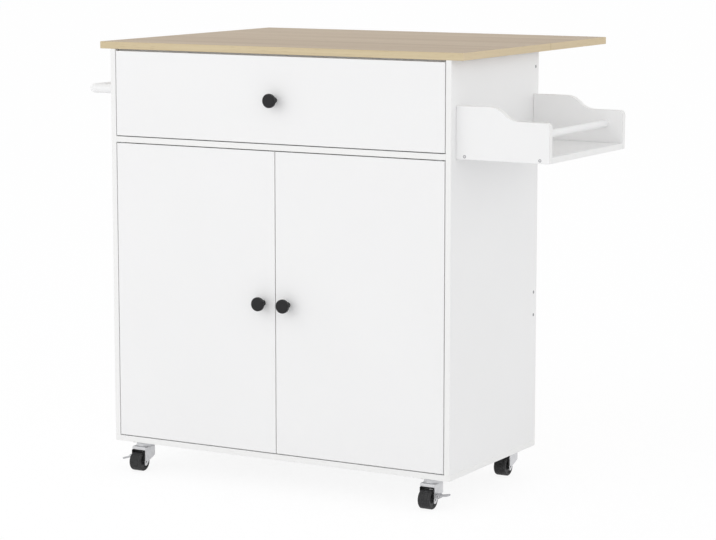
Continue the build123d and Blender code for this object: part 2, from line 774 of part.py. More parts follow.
def build_rack():
    """The spice rack on the right side."""
    front = rack_board(rack_setback)
    back = rack_board(rack_back - board)
    shelf = block(cabinet_width, rack_outer, rack_setback + board, rack_back - board, rack_base,
                  rack_base + board)
    rail_z = rack_base + rail_height
    rail = rod_y(rail_x, rack_setback + board - rail_socket, rack_back - board + rail_socket, rail_z,
                 rail_radius)
    socket = rod_y(rail_x, rack_setback + board - rail_socket - hole_play,
                   rack_back - board + rail_socket + hole_play, rail_z, rail_radius + hole_play)
    front -= socket
    back -= socket
    for place in rack_screw_places():
        hole = rack_screw(*place, slack=hole_play)
        front -= hole
        back -= hole
        shelf -= hole
    for place in rack_fixing_places():
        hole = outward_screw(*place, slack=hole_play)
        front -= hole
        back -= hole
    screws = [rack_screw(*place) for place in rack_screw_places()]
    screws += [outward_screw(*place) for place in rack_fixing_places()]
    save("spice_rack_front_panel", front)
    save("spice_rack_back_panel", back)
    save("spice_rack_shelf", shelf)
    save("spice_rack_rail", rail)
    save("spice_rack_screws", *screws)


def towel_bolt(y, slack=0.0):
    """A bolt from inside the cabinet into the end of the towel bar, or its hole."""
    shank = rod_x(-bar_end_wall, board, y, bar_height, bar_bolt_radius + slack)
    head = rod_x(board, board + bar_bolt_head_height, y, bar_height, bar_bolt_head)
    return shank + head


def bar_sweep(start, radius):
    """A round bar along the towel bar's line, starting at X = start."""
    front, rear = bar_ends
    points = [(start, front, bar_height), (-bar_out, front, bar_height),
              (-bar_out, rear, bar_height), (start, rear, bar_height)]
    path = FilletPolyline(*points, radius=bar_bend)
    section = Plane(origin=points[0], z_dir=(-1, 0, 0)) * Circle(radius)
    return sweep(section, path=path)


def build_towel_bar():
    """The bent tube on the left side and its bolts."""
    tube = bar_sweep(0, bar_radius) - bar_sweep(-bar_end_wall, bar_radius - bar_wall)
    for y in bar_ends:
        tube -= towel_bolt(y, hole_play)
    save("towel_bar", tube)
    save("towel_bar_bolts", *[towel_bolt(y) for y in bar_ends])


def caster_places():
    """X of the wheel and Y of the swivel axis of each caster: front left, front right, rear ones."""
    return [(x, y) for y in swivels for x in wheel_middles]


def caster_screw_places(x, y):
    """X and Y of the four screws of a caster's plate."""
    half = plate_hole_pitch / 2
    return [(x + i * half, y + j * half) for i in (-1, 1) for j in (-1, 1)]


def caster_screw(x, y):
    """A screw that holds a caster's plate under the bottom board."""
    head = rod_z(x, y, -plate_thickness - screw_head_height, -plate_thickness, screw_head_radius)
    shank = rod_z(x, y, -plate_thickness, caster_screw_length, caster_screw_radius)
    return head + shank


def caster_plate(x, y):
    """A caster's mounting plate with its king pin."""
    half = plate_size / 2
    plate = block(x - half, x + half, y - half, y + half, -plate_thickness, 0)
    plate = fillet(plate.edges().filter_by(Axis.Z), plate_thickness)
    for screw in caster_screw_places(x, y):
        plate -= rod_z(*screw, -plate_thickness - cut_margin, cut_margin,
                       caster_screw_radius + hole_play)
    crown = fork_top + race_clearance
    pin = rod_z(x, y, -crown - plate_thickness, -plate_thickness, king_pin_radius)
    head = rod_z(x, y, -crown - plate_thickness, -crown, king_pin_head)
    return plate + pin + head


def fork_side():
    """Outline of a fork's side plate: Y from the swivel axis, Z below the board."""
    axle_y = -caster_trail
    nose = (axle_y - fork_nose, -axle_drop)
    brow = (axle_y - fork_nose, -fork_top + fork_gauge)
    nape = (fork_behind, -fork_top + fork_gauge)
    heel = (fork_behind, -axle_drop + fork_heel_rise)
    waist = (fork_waist_behind, -axle_drop + fork_waist_rise)
    throat = (axle_y + fork_throat_behind, -axle_drop + fork_throat_rise)
    tip_start = (axle_y + fork_tip_behind, -axle_drop - fork_tip_drop)
    with BuildSketch() as sketch:
        with BuildLine():
            Polyline(nose, brow, nape, heel, waist, throat, tip_start)
            ThreePointArc(tip_start, (axle_y, -axle_drop - fork_tip_low), nose)
        make_face()
    return sketch.sketch


def fork(x, y):
    """A caster's fork: crown, two side plates, the upper race cup and a front lip."""
    half = fork_width / 2
    outline = fork_side()
    sides = []
    for offset in (-half, half - fork_gauge):
        plane = Plane(origin=(x + offset, y, 0), x_dir=(0, 1, 0), z_dir=(1, 0, 0))
        sides.append(extrude(plane * outline, fork_gauge))
    front = y - caster_trail - fork_nose
    crown = block(x - half, x + half, front, y + fork_behind, -fork_top, -fork_top + fork_gauge)
    lip = block(x - half, x + half, front, front + fork_gauge, -fork_top - fork_lip, -fork_top)
    sheet = sides[0] + sides[1] + crown + lip
    folds = sheet.edges().filter_by(Axis.Y).group_by(Axis.Z)[-1]
    sheet = fillet(folds, fork_bend)
    cup = rod_z(x, y, -fork_top + fork_gauge, -plate_thickness - race_clearance, race_radius)
    body = sheet + cup
    body -= rod_z(x, y, -fork_top - cut_margin, 0, king_pin_radius + running_play)
    body -= rod_x(x - half - cut_margin, x + half + cut_margin, y - caster_trail, -axle_drop,
                  axle_radius + hole_play)
    return body


def axle(x, y):
    """A wheel's axle bolt with its two heads."""
    half = fork_width / 2
    axle_y = y - caster_trail
    shank = rod_x(x - half, x + half, axle_y, -axle_drop, axle_radius)
    left = rod_x(x - half - axle_head_height, x - half, axle_y, -axle_drop, axle_head)
    right = rod_x(x + half, x + half + axle_head_height, axle_y, -axle_drop, axle_head)
    return shank + left + right


def lever_side(x):
    """Which side of the wheel the brake lever is on: the side that faces outwards."""
    return -1 if x < middle else 1


def lever_ears(x, y):
    """Two ears on a front fork, and the pin of the brake lever between them."""
    side = lever_side(x)
    axis_x = x + side * lever_axis_out
    low = x + side * fork_width / 2
    front = y + lever_hub_front - lever_ear_gauge - seat_gap
    rear = y + lever_hub_rear + lever_ear_gauge + seat_gap
    hole = rod_y(axis_x, front, rear, -lever_axis_drop, lever_pin_radius + hole_play)
    pin = rod_y(axis_x, front, rear, -lever_axis_drop, lever_pin_radius)
    ears = []
    for start in (front, rear - lever_ear_gauge):
        end = start + lever_ear_gauge
        ear = block(min(low, axis_x), max(low, axis_x), start, end,
                    -lever_axis_drop - lever_ear_radius, -lever_axis_drop + lever_ear_radius)
        ear += rod_y(axis_x, start, end, -lever_axis_drop, lever_ear_radius)
        ears.append(ear - hole)
    return ears, pin


def brake_lever(x, y, pressed):
    """A brake lever: a thick hub on its pin and a pedal reaching outwards."""
    side = lever_side(x)
    axis_x = x + side * lever_axis_out
    hub = rod_y(axis_x, y + lever_hub_front, y + lever_hub_rear, -lever_axis_drop, lever_hub_radius)
    rise = degrees(asin(lever_rise / lever_pedal_reach))
    pedal = block(0, lever_pedal_reach, lever_hub_front, lever_hub_rear, -lever_pedal_gauge / 2,
                  lever_pedal_gauge / 2)
    tip = pedal.edges().filter_by(Axis.Z).sort_by(Axis.X)[-2:]
    pedal = fillet(tip, lever_pedal_corner)
    if side < 0:
        pedal = mirror(pedal, about=Plane.YZ)
    tilt = Pos(axis_x, y, -lever_axis_drop) * Rot(0, -side * rise, 0)
    bore = rod_y(axis_x, y + lever_hub_front - cut_margin, y + lever_hub_rear + cut_margin,
                 -lever_axis_drop, lever_pin_radius + running_play)
    lever = hub + tilt * pedal - bore
    if pressed:
        axis = Axis((axis_x, 0, -lever_axis_drop), (0, 1, 0))
        lever = lever.rotate(axis, side * lever_swing)
    return lever


def wheel(x, y):
    """A wheel: hub with a bore, and a tyre round it."""
    half = wheel_width / 2
    axle_y = y - caster_trail
    hub = rod_x(x - half, x + half, axle_y, -axle_drop, wheel_radius - tyre_thickness)
    past = half + cut_margin
    hub -= rod_x(x - past, x + past, axle_y, -axle_drop, axle_radius + running_play)
    tyre = rod_x(x - half, x + half, axle_y, -axle_drop, wheel_radius)
    tyre = fillet(tyre.edges(), tyre_round)
    tyre -= rod_x(x - past, x + past, axle_y, -axle_drop, wheel_radius - tyre_thickness)
    return [hub, tyre]


def build_casters():
    """Four casters; the front ones have brake levers, the left one pressed, as in the photo."""
    names = ("front_left", "front_right", "rear_left", "rear_right")
    plates = []
    screws = []
    for name, (x, y) in zip(names, caster_places()):
        plates.append(caster_plate(x, y))
        screws += [caster_screw(*place) for place in caster_screw_places(x, y)]
        body = fork(x, y)
        pieces = [axle(x, y)]
        if y == front_swivel:
            ears, pin = lever_ears(x, y)
            body = body + ears[0] + ears[1]
            pieces.append(pin)
            save(name + "_brake_lever", brake_lever(x, y, pressed=x < middle))
        save(name + "_caster_fork", body, *pieces)
        save(name + "_wheel", *wheel(x, y))
    save("caster_plates", *plates)
    save("caster_screws", *screws)


os.makedirs("parts", exist_ok=True)
build_carcass()
build_worktop()
build_leaf_fittings()
build_drawer()
build_doors()
build_rack()
build_towel_bar()
build_casters()
print("The struts lean", round(stay_lean, 3), "degrees with the leaf up.")
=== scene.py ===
"""Looks of a rolling kitchen cart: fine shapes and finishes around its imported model."""

import logging
import math
from dataclasses import dataclass, replace
from enum import Enum
from typing import Any, Sequence

import bmesh
import bpy
from mathutils import Matrix, Vector


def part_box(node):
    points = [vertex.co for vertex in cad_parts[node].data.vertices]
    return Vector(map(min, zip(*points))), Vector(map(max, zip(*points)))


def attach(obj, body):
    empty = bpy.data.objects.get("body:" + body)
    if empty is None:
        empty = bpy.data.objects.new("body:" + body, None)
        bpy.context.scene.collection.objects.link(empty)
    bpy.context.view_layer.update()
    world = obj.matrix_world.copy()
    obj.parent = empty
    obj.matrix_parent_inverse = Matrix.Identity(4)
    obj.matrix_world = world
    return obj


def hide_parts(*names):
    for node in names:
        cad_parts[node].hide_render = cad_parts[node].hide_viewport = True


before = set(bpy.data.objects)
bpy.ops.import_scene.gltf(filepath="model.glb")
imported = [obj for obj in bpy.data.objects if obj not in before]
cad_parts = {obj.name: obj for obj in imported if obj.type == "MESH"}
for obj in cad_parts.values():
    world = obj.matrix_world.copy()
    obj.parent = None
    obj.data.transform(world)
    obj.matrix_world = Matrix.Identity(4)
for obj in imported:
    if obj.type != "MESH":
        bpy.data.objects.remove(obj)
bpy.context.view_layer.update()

LOG = logging.getLogger("cart")
MM = 0.001
WHITE = (1.0, 1.0, 1.0, 1.0)

Point = tuple[float, float]
Triple = tuple[float, float, float]
Rgb = tuple[float, float, float]

# The cabinet's lower front left corner, where millimetres in this file start
CORNER = Vector((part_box("left_side_panel")[0].x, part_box("left_side_panel")[0].y,
                 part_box("bottom_board")[0].z))


def node_box(node: str) -> tuple[Vector, Vector]:
    """Corners of a CAD node in millimetres from the cabinet's corner.

    Args:
        node: name of the node.

    Returns:
        Its lowest and its highest corner.
    """
    low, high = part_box(node)
    return (low - CORNER) / MM, (high - CORNER) / MM


# Thickness of the white boards
BOARD = node_box("bottom_board")[1].z


def linear(red: float, green: float, blue: float) -> tuple[float, float, float, float]:
    """A colour as the shaders take it.

    Args:
        red, green, blue: the colour as seen on a screen, from 0 to 255.

    Returns:
        The linear colour, with full cover.
    """
    parts = []
    for part in (red, green, blue):
        part /= 255
        parts.append(part / 12.92 if part <= 0.04045 else ((part + 0.055) / 1.055) ** 2.4)
    return (*parts, 1.0)


# Node trees


class Graph:
    """Short calls that add the nodes of one tree and link them."""

    def __init__(self, tree: bpy.types.NodeTree) -> None:
        """Start an empty tree."""
        self.tree = tree
        tree.nodes.clear()

    def add(self, kind: str, inputs: dict[Any, Any] | None = None,
            **settings: Any) -> bpy.types.Node:
        """Add one node.

        Args:
            kind: the node's type name.
            inputs: values by socket name or number; a socket or a node is linked.
            settings: properties of the node.

        Returns:
            The node.
        """
        node = self.tree.nodes.new(kind)
        for key, value in settings.items():
            setattr(node, key, value)
        for key, value in (inputs or {}).items():
            if isinstance(value, bpy.types.Node):
                value = value.outputs[0]
            if isinstance(value, bpy.types.NodeSocket):
                self.tree.links.new(value, node.inputs[key])
            else:
                node.inputs[key].default_value = value
        return node

    def math(self, operation: str, *values: Any) -> bpy.types.NodeSocket:
        """Result of a Math node."""
        return self.add("ShaderNodeMath", dict(enumerate(values)), operation=operation).outputs[0]

    def blend(self, factor: Any, first: Any, second: Any) -> bpy.types.NodeSocket:
        """Colour between two others."""
        return self.add("ShaderNodeMix", {0: factor, 6: first, 7: second},
                        data_type="RGBA").outputs[2]

    def spread(self, value: Any, low: float, high: float, start: float = 0.3,
               end: float = 0.7) -> bpy.types.NodeSocket:
        """A value from start to end, stretched to go from low to high."""
        return self.add("ShaderNodeMapRange", {"Value": value, "From Min": start, "From Max": end,
                                               "To Min": low, "To Max": high}).outputs[0]


class Brush(Graph):
    """The tree of one material: its shader, its coordinates and what paints them."""

    def __init__(self, material: bpy.types.Material) -> None:
        """Start the tree with a principled shader.

        Args:
            material: the material.
        """
        material.use_nodes = True
        super().__init__(material.node_tree)
        self.shader = self.add("ShaderNodeBsdfPrincipled")
        self.add("ShaderNodeOutputMaterial", {"Surface": self.shader})
        self.place = self.add("ShaderNodeTexCoord").outputs

    def noise(self, scale: float, detail: float, stretch: Triple = (1.0, 1.0, 1.0),
              shift: Triple = (0.0, 0.0, 0.0), distortion: float = 0.0) -> bpy.types.NodeSocket:
        """Noise on stretched Object coordinates.

        Args:
            scale: how many patches there are in a metre.
            detail: octaves.
            stretch: factor on each axis before the noise.
            shift: where the pattern starts.
            distortion: how much the noise bends itself.

        Returns:
            The noise from 0 to 1.
        """
        mapped = self.add("ShaderNodeMapping", {"Vector": self.place["Object"], "Location": shift,
                                                "Scale": stretch})
        return self.add("ShaderNodeTexNoise", {"Vector": mapped, "Scale": scale, "Detail": detail,
                                               "Distortion": distortion}).outputs[0]

    def cover(self, colour: bpy.types.NodeSocket, roughness: bpy.types.NodeSocket,
              relief: bpy.types.NodeSocket, depth: float, gloss: float = 0.5) -> None:
        """Feed the shader.

        Args:
            colour: the base colour.
            roughness: the roughness.
            relief: height of the surface, from 0 to 1.
            depth: how deep the relief is, in metres.
            gloss: the shader's specular level.
        """
        bump = self.add("ShaderNodeBump", {"Height": relief, "Distance": depth, "Strength": 1.0})
        links = (("Base Color", colour), ("Roughness", roughness), ("Normal", bump.outputs[0]))
        for socket, value in links:
            self.tree.links.new(value, self.shader.inputs[socket])
        self.shader.inputs["Specular IOR Level"].default_value = gloss


class GrowthTree(Graph):
    """A Geometry Nodes tree with named inputs that ends in real geometry with a material."""

    def __init__(self, name: str, sockets: Sequence[tuple[str, str]]) -> None:
        """Start a tree.

        Args:
            name: name of the tree.
            sockets: name and kind of each input after the geometry.
        """
        tree = bpy.data.node_groups.new(name, "GeometryNodeTree")
        face = tree.interface
        face.new_socket(name="Geometry", in_out="INPUT", socket_type="NodeSocketGeometry")
        for label, kind in (*sockets, ("Finish", "Material")):
            face.new_socket(name=label, in_out="INPUT", socket_type="NodeSocket" + kind)
        face.new_socket(name="Geometry", in_out="OUTPUT", socket_type="NodeSocketGeometry")
        super().__init__(tree)
        self.given = self.add("NodeGroupInput").outputs

    def close(self, geometry: Any) -> None:
        """Realize what was made, give it its material and hand it out.

        Args:
            geometry: socket or node of the geometry.
        """
        real = self.add("GeometryNodeRealizeInstances", {"Geometry": geometry})
        clad = self.add("GeometryNodeSetMaterial", {"Geometry": real,
                                                    "Material": self.given["Finish"]})
        self.add("NodeGroupOutput", {"Geometry": clad})

    def grown(self, host: bpy.types.Object, **values: Any) -> "Shape":
        """Run the tree on a host object and remove the host.

        Args:
            host: object whose mesh is the tree's geometry.
            values: inputs by name.

        Returns:
            The plain mesh that the tree made.
        """
        modifier = host.modifiers.new(self.tree.name, "NODES")
        modifier.node_group = self.tree
        for item in self.tree.interface.items_tree:
            if item.in_out == "INPUT" and item.name in values:
                modifier[item.identifier] = values[item.name]
        shape = Shape()
        shape.mesh.from_mesh(baked(host))
        bpy.data.objects.remove(host)
        return shape


def baked(thing: bpy.types.Object) -> bpy.types.Mesh:
    """Work out an object's modifiers.

    Args:
        thing: the object.

    Returns:
        A plain mesh with their result.
    """
    bpy.context.view_layer.update()
    graph = bpy.context.evaluated_depsgraph_get()
    return bpy.data.meshes.new_from_object(thing.evaluated_get(graph), depsgraph=graph,
                                           preserve_all_data_layers=True)


def linked(name: str, mesh: bpy.types.Mesh) -> bpy.types.Object:
    """Put a mesh in the scene.

    Args:
        name: name of its object.
        mesh: the mesh.

    Returns:
        The new object.
    """
    thing = bpy.data.objects.new(name, mesh)
    bpy.context.scene.collection.objects.link(thing)
    return thing


# Finishes


class Axis(Enum):
    """An axis of the cart: the normal of a board or the way its grain runs."""

    X = (1.0, 0.0, 0.0)
    Y = (0.0, 1.0, 0.0)
    Z = (0.0, 0.0, 1.0)


@dataclass(frozen=True)
class Finish:
    """A surface finish. Each kind paints its own shader from Object coordinates."""

    name: str

    def material(self) -> bpy.types.Material:
        """The finish's material, made when it is first asked for.

        Returns:
            The one material of that name.
        """
        label = "finish_" + self.name
        made = bpy.data.materials.get(label)
        if made is None:
            made = bpy.data.materials.new(label)
            self.paint(Brush(made))
        return made

    def paint(self, brush: Brush) -> None:
        """Paint the finish.

        Args:
            brush: the material's tree.
        """
        raise NotImplementedError


@dataclass(frozen=True)
class Melamine(Finish):
    """White melamine board with a fine orange peel and a smoother band along its edges."""

    plane: Axis
    face: Rgb = (246, 246, 246)
    cloud: Rgb = (243, 243, 243)
    band: Rgb = (244, 244, 243)
    nearly_flat: float = 0.8
    face_roughness: float = 0.06

    def paint(self, brush: Brush) -> None:
        """Paint the peel on the faces and the band on the edges.

        Args:
            brush: the material's tree.
        """
        facing = brush.add("ShaderNodeVectorMath", {0: brush.place["Normal"], 1: self.plane.value},
                           operation="DOT_PRODUCT").outputs["Value"]
        on_face = brush.math("GREATER_THAN", brush.math("ABSOLUTE", facing), self.nearly_flat)
        clouds = brush.noise(scale=5.0, detail=4.0)
        board = brush.blend(clouds, linear(*self.face), linear(*self.cloud))
        colour = brush.blend(on_face, linear(*self.band), board)
        peel = brush.noise(scale=620.0, detail=2.0)
        rough = brush.math("ADD", brush.spread(peel, low=0.4, high=0.5),
                           brush.math("MULTIPLY", on_face, self.face_roughness))
        brush.cover(colour, rough, peel, depth=0.00006, gloss=0.35)


@dataclass(frozen=True)
class Oak(Finish):
    """Pale oak decor: bands, fibres and pores that run along one axis."""

    grain: Axis
    light: Rgb = (196, 179, 157)
    dark: Rgb = (180, 161, 138)
    pore: Rgb = (160, 140, 116)
    contrast: float = 1.0
    band_share: float = 0.55

    def paint(self, brush: Brush) -> None:
        """Paint the grain, which is noise drawn out along the board.

        Args:
            brush: the material's tree.
        """
        bands = brush.noise(scale=14.0, detail=3.0, stretch=self.drawn(0.05),
                            shift=(3.1, 0.7, 1.9), distortion=0.6)
        fibres = brush.noise(scale=240.0, detail=5.0, stretch=self.drawn(0.012),
                             shift=(0.4, 5.2, 2.3))
        pores = brush.noise(scale=900.0, detail=2.0, stretch=self.drawn(0.045),
                            shift=(7.7, 1.3, 4.1))
        mixed = brush.math("ADD", brush.math("MULTIPLY", bands, self.band_share),
                           brush.math("MULTIPLY", fibres, 1.0 - self.band_share))
        swing = self.contrast / 2
        tone = brush.spread(mixed, low=0.5 - swing, high=0.5 + swing, start=0.36, end=0.64)
        decor = brush.blend(tone, linear(*self.dark), linear(*self.light))
        pits = brush.spread(pores, low=0.55, high=0.0, start=0.30, end=0.40)
        colour = brush.blend(pits, decor, linear(*self.pore))
        brush.cover(colour, brush.spread(fibres, low=0.5, high=0.62), fibres, depth=0.00005,
                    gloss=0.2)

    def drawn(self, factor: float) -> Triple:
        """Stretch that draws a pattern out along the grain."""
        return tuple(factor if part else 1.0 for part in self.grain.value)


@dataclass(frozen=True)
class Hardboard(Finish):
    """White painted back board, a little matter than melamine."""

    face: Rgb = (243, 243, 242)
    shade: Rgb = (238, 238, 237)

    def paint(self, brush: Brush) -> None:
        """Paint the board so that its soft texture shows.

        Args:
            brush: the material's tree.
        """
        clouds = brush.noise(scale=8.0, detail=5.0)
        grit = brush.noise(scale=420.0, detail=3.0)
        colour = brush.blend(clouds, linear(*self.face), linear(*self.shade))
        brush.cover(colour, brush.spread(grit, low=0.6, high=0.72), grit, depth=0.0001, gloss=0.25)


@dataclass(frozen=True)
class Coating(Finish):
    """Powder coat or paint with an orange peel of a given grain."""

    face: Rgb
    shade: Rgb
    rough: float = 0.35
    grain: float = 900.0
    gloss: float = 0.5

    def paint(self, brush: Brush) -> None:
        """Paint tone and roughness from the same fine noise.

        Args:
            brush: the material's tree.
        """
        clouds = brush.noise(scale=30.0, detail=4.0)
        peel = brush.noise(self.grain, detail=2.0)
        colour = brush.blend(clouds, linear(*self.face), linear(*self.shade))
        rough = brush.spread(peel, low=self.rough - 0.04, high=self.rough + 0.06)
        brush.cover(colour, rough, peel, depth=0.00004, gloss=self.gloss)


@dataclass(frozen=True)
class Zinc(Finish):
    """Zinc-plated sheet steel: a soft shine with cloudy passivation."""

    bright: Rgb = (222, 222, 224)
    dull: Rgb = (208, 209, 211)
    rough: float = 0.36
    metal: float = 0.6

    def paint(self, brush: Brush) -> None:
        """Paint clouds that change the tone and the roughness of the metal.

        Args:
            brush: the material's tree.
        """
        clouds = brush.noise(scale=160.0, detail=4.0)
        rolled = brush.noise(scale=1500.0, detail=2.0, stretch=(1.0, 0.08, 1.0))
        colour = brush.blend(clouds, linear(*self.bright), linear(*self.dull))
        brush.shader.inputs["Metallic"].default_value = self.metal
        rough = brush.spread(clouds, low=self.rough - 0.06, high=self.rough + 0.1)
        brush.cover(colour, rough, rolled, depth=0.00002)


@dataclass(frozen=True)
class Rubber(Finish):
    """Dark tyre or hub plastic with fine grit and a paler bloom on it."""

    face: Rgb = (40, 40, 41)
    bloom: Rgb = (51, 51, 52)
    rough: float = 0.5

    def paint(self, brush: Brush) -> None:
        """Paint the bloom in soft patches.

        Args:
            brush: the material's tree.
        """
        patches = brush.noise(scale=90.0, detail=4.0)
        grit = brush.noise(scale=1100.0, detail=3.0)
        colour = brush.blend(patches, linear(*self.face), linear(*self.bloom))
        rough = brush.spread(grit, low=self.rough - 0.05, high=self.rough + 0.12)
        brush.cover(colour, rough, grit, depth=0.00008, gloss=0.35)


BOARD_X = Melamine("melamine_side", Axis.X)
BOARD_Y = Melamine("melamine_front", Axis.Y)
BOARD_Z = Melamine("melamine_flat", Axis.Z)
BACK_BOARD = Hardboard("painted_back")
OAK_TOP = Oak("oak_top", Axis.X)
OAK_FRONT_BAND = Oak("oak_band_along", Axis.X, (215, 199, 165), (205, 187, 152), (190, 171, 136),
                     contrast=1.1)
OAK_END_BAND = Oak("oak_band_across", Axis.Y, (222, 204, 171), (212, 194, 161), (196, 178, 145),
                   contrast=0.8)
ZINC = Zinc("zinc_plate")
SCREW_STEEL = Zinc("screw_steel", (184, 184, 187), (168, 168, 171), rough=0.5, metal=0.3)
LEVER_STEEL = Zinc("lever_steel", (192, 192, 195), (174, 174, 177), rough=0.4, metal=0.5)
# Dark painted shade: the fork's inside faces and the axles' dimples
SHADE_STEEL = Coating("painted_shade_steel", (58, 58, 60), (48, 48, 50), rough=0.45)
WHITE_COAT = Coating("white_powder_coat", (246, 246, 246), (243, 243, 243), rough=0.34)
BLACK_PAINT = Coating("black_knob_paint", (30, 30, 32), (25, 25, 27), rough=0.36, grain=1300.0,
                      gloss=0.3)
GREY_NYLON = Coating("grey_nylon", (150, 151, 153), (140, 141, 143), rough=0.5, grain=500.0)
TYRE = Rubber("tyre_rubber")
HUB = Rubber("hub_plastic", (44, 44, 46), (52, 52, 54), rough=0.4)
# Black painted shade: a sheet in the fork under the lip and beside the wheel
SHADE_LINER = Rubber("painted_shade_liner", (13, 13, 14), (19, 19, 20), rough=0.7)


# Meshes


class Join(Enum):
    """How two solids are put together."""

    CUT = "DIFFERENCE"
    ADD = "UNION"
    COMMON = "INTERSECT"


class Shape:
    """A closed mesh in millimetres from the cabinet's corner."""

    def __init__(self) -> None:
        """Start with nothing."""
        self.mesh = bmesh.new()

    @classmethod
    def block(cls, low: Sequence[float], high: Sequence[float], radius: float = 0.0,
              steps: int = 2) -> "Shape":
        """A box.

        Args:
            low, high: its two corners.
            radius: rounding of its edges.
            steps: facets of the rounding.

        Returns:
            The box.
        """
        shape = cls()
        bmesh.ops.create_cube(shape.mesh, size=1.0)
        middle = (Vector(low) + Vector(high)) / 2
        size = Vector(high) - Vector(low)
        for vertex in shape.mesh.verts:
            vertex.co = middle + vertex.co * size
        return shape.rounded(radius, steps)

    @classmethod
    def prism(cls, outline: Sequence[Point], depth: float) -> "Shape":
        """An outline drawn up along Z.

        Args:
            outline: its corners in the XY plane.
            depth: how far it is drawn.

        Returns:
            The prism.
        """
        shape = cls()
        low, high = ([shape.mesh.verts.new((x, y, z)) for x, y in outline] for z in (0.0, depth))
        shape.mesh.faces.new(reversed(low))
        shape.mesh.faces.new(high)
        for index, first in enumerate(low):
            after = (index + 1) % len(low)
            shape.mesh.faces.new((first, low[after], high[after], high[index]))
        return shape.outward()

    @classmethod
    def rod(cls, radius: float, start: float, end: float, chamfer: float = 0.0,
            sides: int = 32) -> "Shape":
        """A round bar along the Z axis.

        Args:
            radius: its radius.
            start, end: heights of its ends.
            chamfer: how far its rims are cut back.
            sides: facets round the axis.

        Returns:
            The bar.
        """
        rims = [(radius, start + chamfer), (radius, end - chamfer)]
        if chamfer:
            rims = [(radius - chamfer, start), *rims, (radius - chamfer, end)]
        return cls.lathe([(0.0, start), *rims, (0.0, end)], sides)

    @classmethod
    def lathe(cls, profile: Sequence[Point], sides: int = 48, ring: bool = False) -> "Shape":
        """A profile of radius and height turned round the Z axis.

        Args:
            profile: radius and height of each point; a radius of 0 closes an end.
            sides: facets round the axis.
            ring: whether the last point joins the first.

        Returns:
            The turned shape.
        """
        shape = cls()
        rings = []
        for radius, height in profile:
            count = sides if radius else 1
            turn = math.tau / count
            rings.append([shape.mesh.verts.new((radius * math.cos(turn * index),
                                                radius * math.sin(turn * index), height))
                          for index in range(count)])
        pairs = list(zip(rings, rings[1:]))
        if ring:
            pairs.append((rings[-1], rings[0]))
        for first, second in pairs:
            for index in range(sides):
                after = (index + 1) % sides
                corners = [first[index % len(first)], first[after % len(first)],
                           second[after % len(second)], second[index % len(second)]]
                corners = list(dict.fromkeys(corners))
                if len(corners) > 2:
                    shape.mesh.faces.new(corners)
        return shape.outward()

    def outward(self) -> "Shape":
        """Turn every face outwards."""
        bmesh.ops.recalc_face_normals(self.mesh, faces=self.mesh.faces)
        return self

    def rounded(self, radius: float, steps: int = 2, sharp: float = 35.0) -> "Shape":
        """Round the edges.

        Args:
            radius: how far each edge is cut back.
            steps: facets of the rounding.
            sharp: an edge is rounded where it turns by more degrees than this.

        Returns:
            This shape.
        """
        if radius:
            limit = math.radians(sharp)
            edges = [edge for edge in self.mesh.edges if edge.calc_face_angle(0.0) > limit]
            bmesh.ops.bevel(self.mesh, geom=edges, offset=radius, segments=steps, profile=0.5,
                            affect="EDGES", clamp_overlap=True)
        return self

    def placed(self, matrix: Matrix) -> "Shape":
        """Move and turn the shape."""
        self.mesh.transform(matrix)
        return self

    def moved(self, x: float, y: float, z: float) -> "Shape":
        """Move the shape."""
        return self.placed(Matrix.Translation((x, y, z)))

    def painted(self, index: int) -> "Shape":
        """Give every face a finish.

        Args:
            index: number of the finish.

        Returns:
            This shape.
        """
        for face in self.mesh.faces:
            face.material_index = index
        return self

    def held(self, name: str) -> bpy.types.Mesh:
        """Move the shape into a mesh.

        Args:
            name: name of the mesh.

        Returns:
            The mesh; the shape is used up.
        """
        mesh = bpy.data.meshes.new(name)
        self.mesh.to_mesh(mesh)
        self.mesh.free()
        return mesh

    def beside(self, *others: "Shape") -> "Shape":
        """Take other shapes in as they are.

        Args:
            others: the shapes, which are used up.

        Returns:
            This shape with the others.
        """
        for other in others:
            mesh = other.held("held")
            self.mesh.from_mesh(mesh)
            bpy.data.meshes.remove(mesh)
        return self

    def solid(self, how: Join, other: "Shape") -> "Shape":
        """Cut another shape away, melt it in, or keep what both share.

        Args:
            how: what to keep.
            other: the other shape, which is used up.

        Returns:
            This shape with the result.
        """
        things = [linked("blank", shape.held("blank")) for shape in (self, other)]
        modifier = things[0].modifiers.new("join", "BOOLEAN")
        modifier.operation = how.value
        modifier.object = things[1]
        modifier.solver = "EXACT"
        self.mesh = bmesh.new()
        self.mesh.from_mesh(baked(things[0]))
        for thing in things:
            bpy.data.objects.remove(thing)
        bmesh.ops.remove_doubles(self.mesh, verts=self.mesh.verts, dist=0.001)
        bmesh.ops.dissolve_limit(self.mesh, angle_limit=math.radians(0.5), verts=self.mesh.verts,
                                 edges=self.mesh.edges)
        return self

    def piece(self, name: str, *finishes: Finish, smooth: float = 50.0) -> bpy.types.Object:
        """Finish the shape as an object in the shared frame.

        Args:
            name: name of the object.
            finishes: one for each number that the faces carry.
            smooth: edges that turn by more degrees than this stay sharp.

        Returns:
            The object, at the origin, with its place in its mesh.
        """
        self.mesh.transform(Matrix.Translation(CORNER) @ Matrix.Scale(MM, 4))
        mesh = self.held(name)
        for finish in finishes:
            mesh.materials.append(finish.material())
        mesh.shade_smooth()
        mesh.set_sharp_from_angle(angle=math.radians(smooth))
        thing = linked(name, mesh)
        even = thing.modifiers.new("even", "WEIGHTED_NORMAL")
        even.keep_sharp = True
        flat = baked(thing)
        thing.modifiers.clear()
        thing.data = flat
        bpy.data.meshes.remove(mesh)
        flat.name = name
        return thing


def aimed(origin: Sequence[float], direction: Sequence[float]) -> Matrix:
    """Matrix that puts the Z axis along a direction from a point."""
    turn = Vector(direction).to_track_quat("Z", "Y")
    return Matrix.Translation(origin) @ turn.to_matrix().to_4x4()


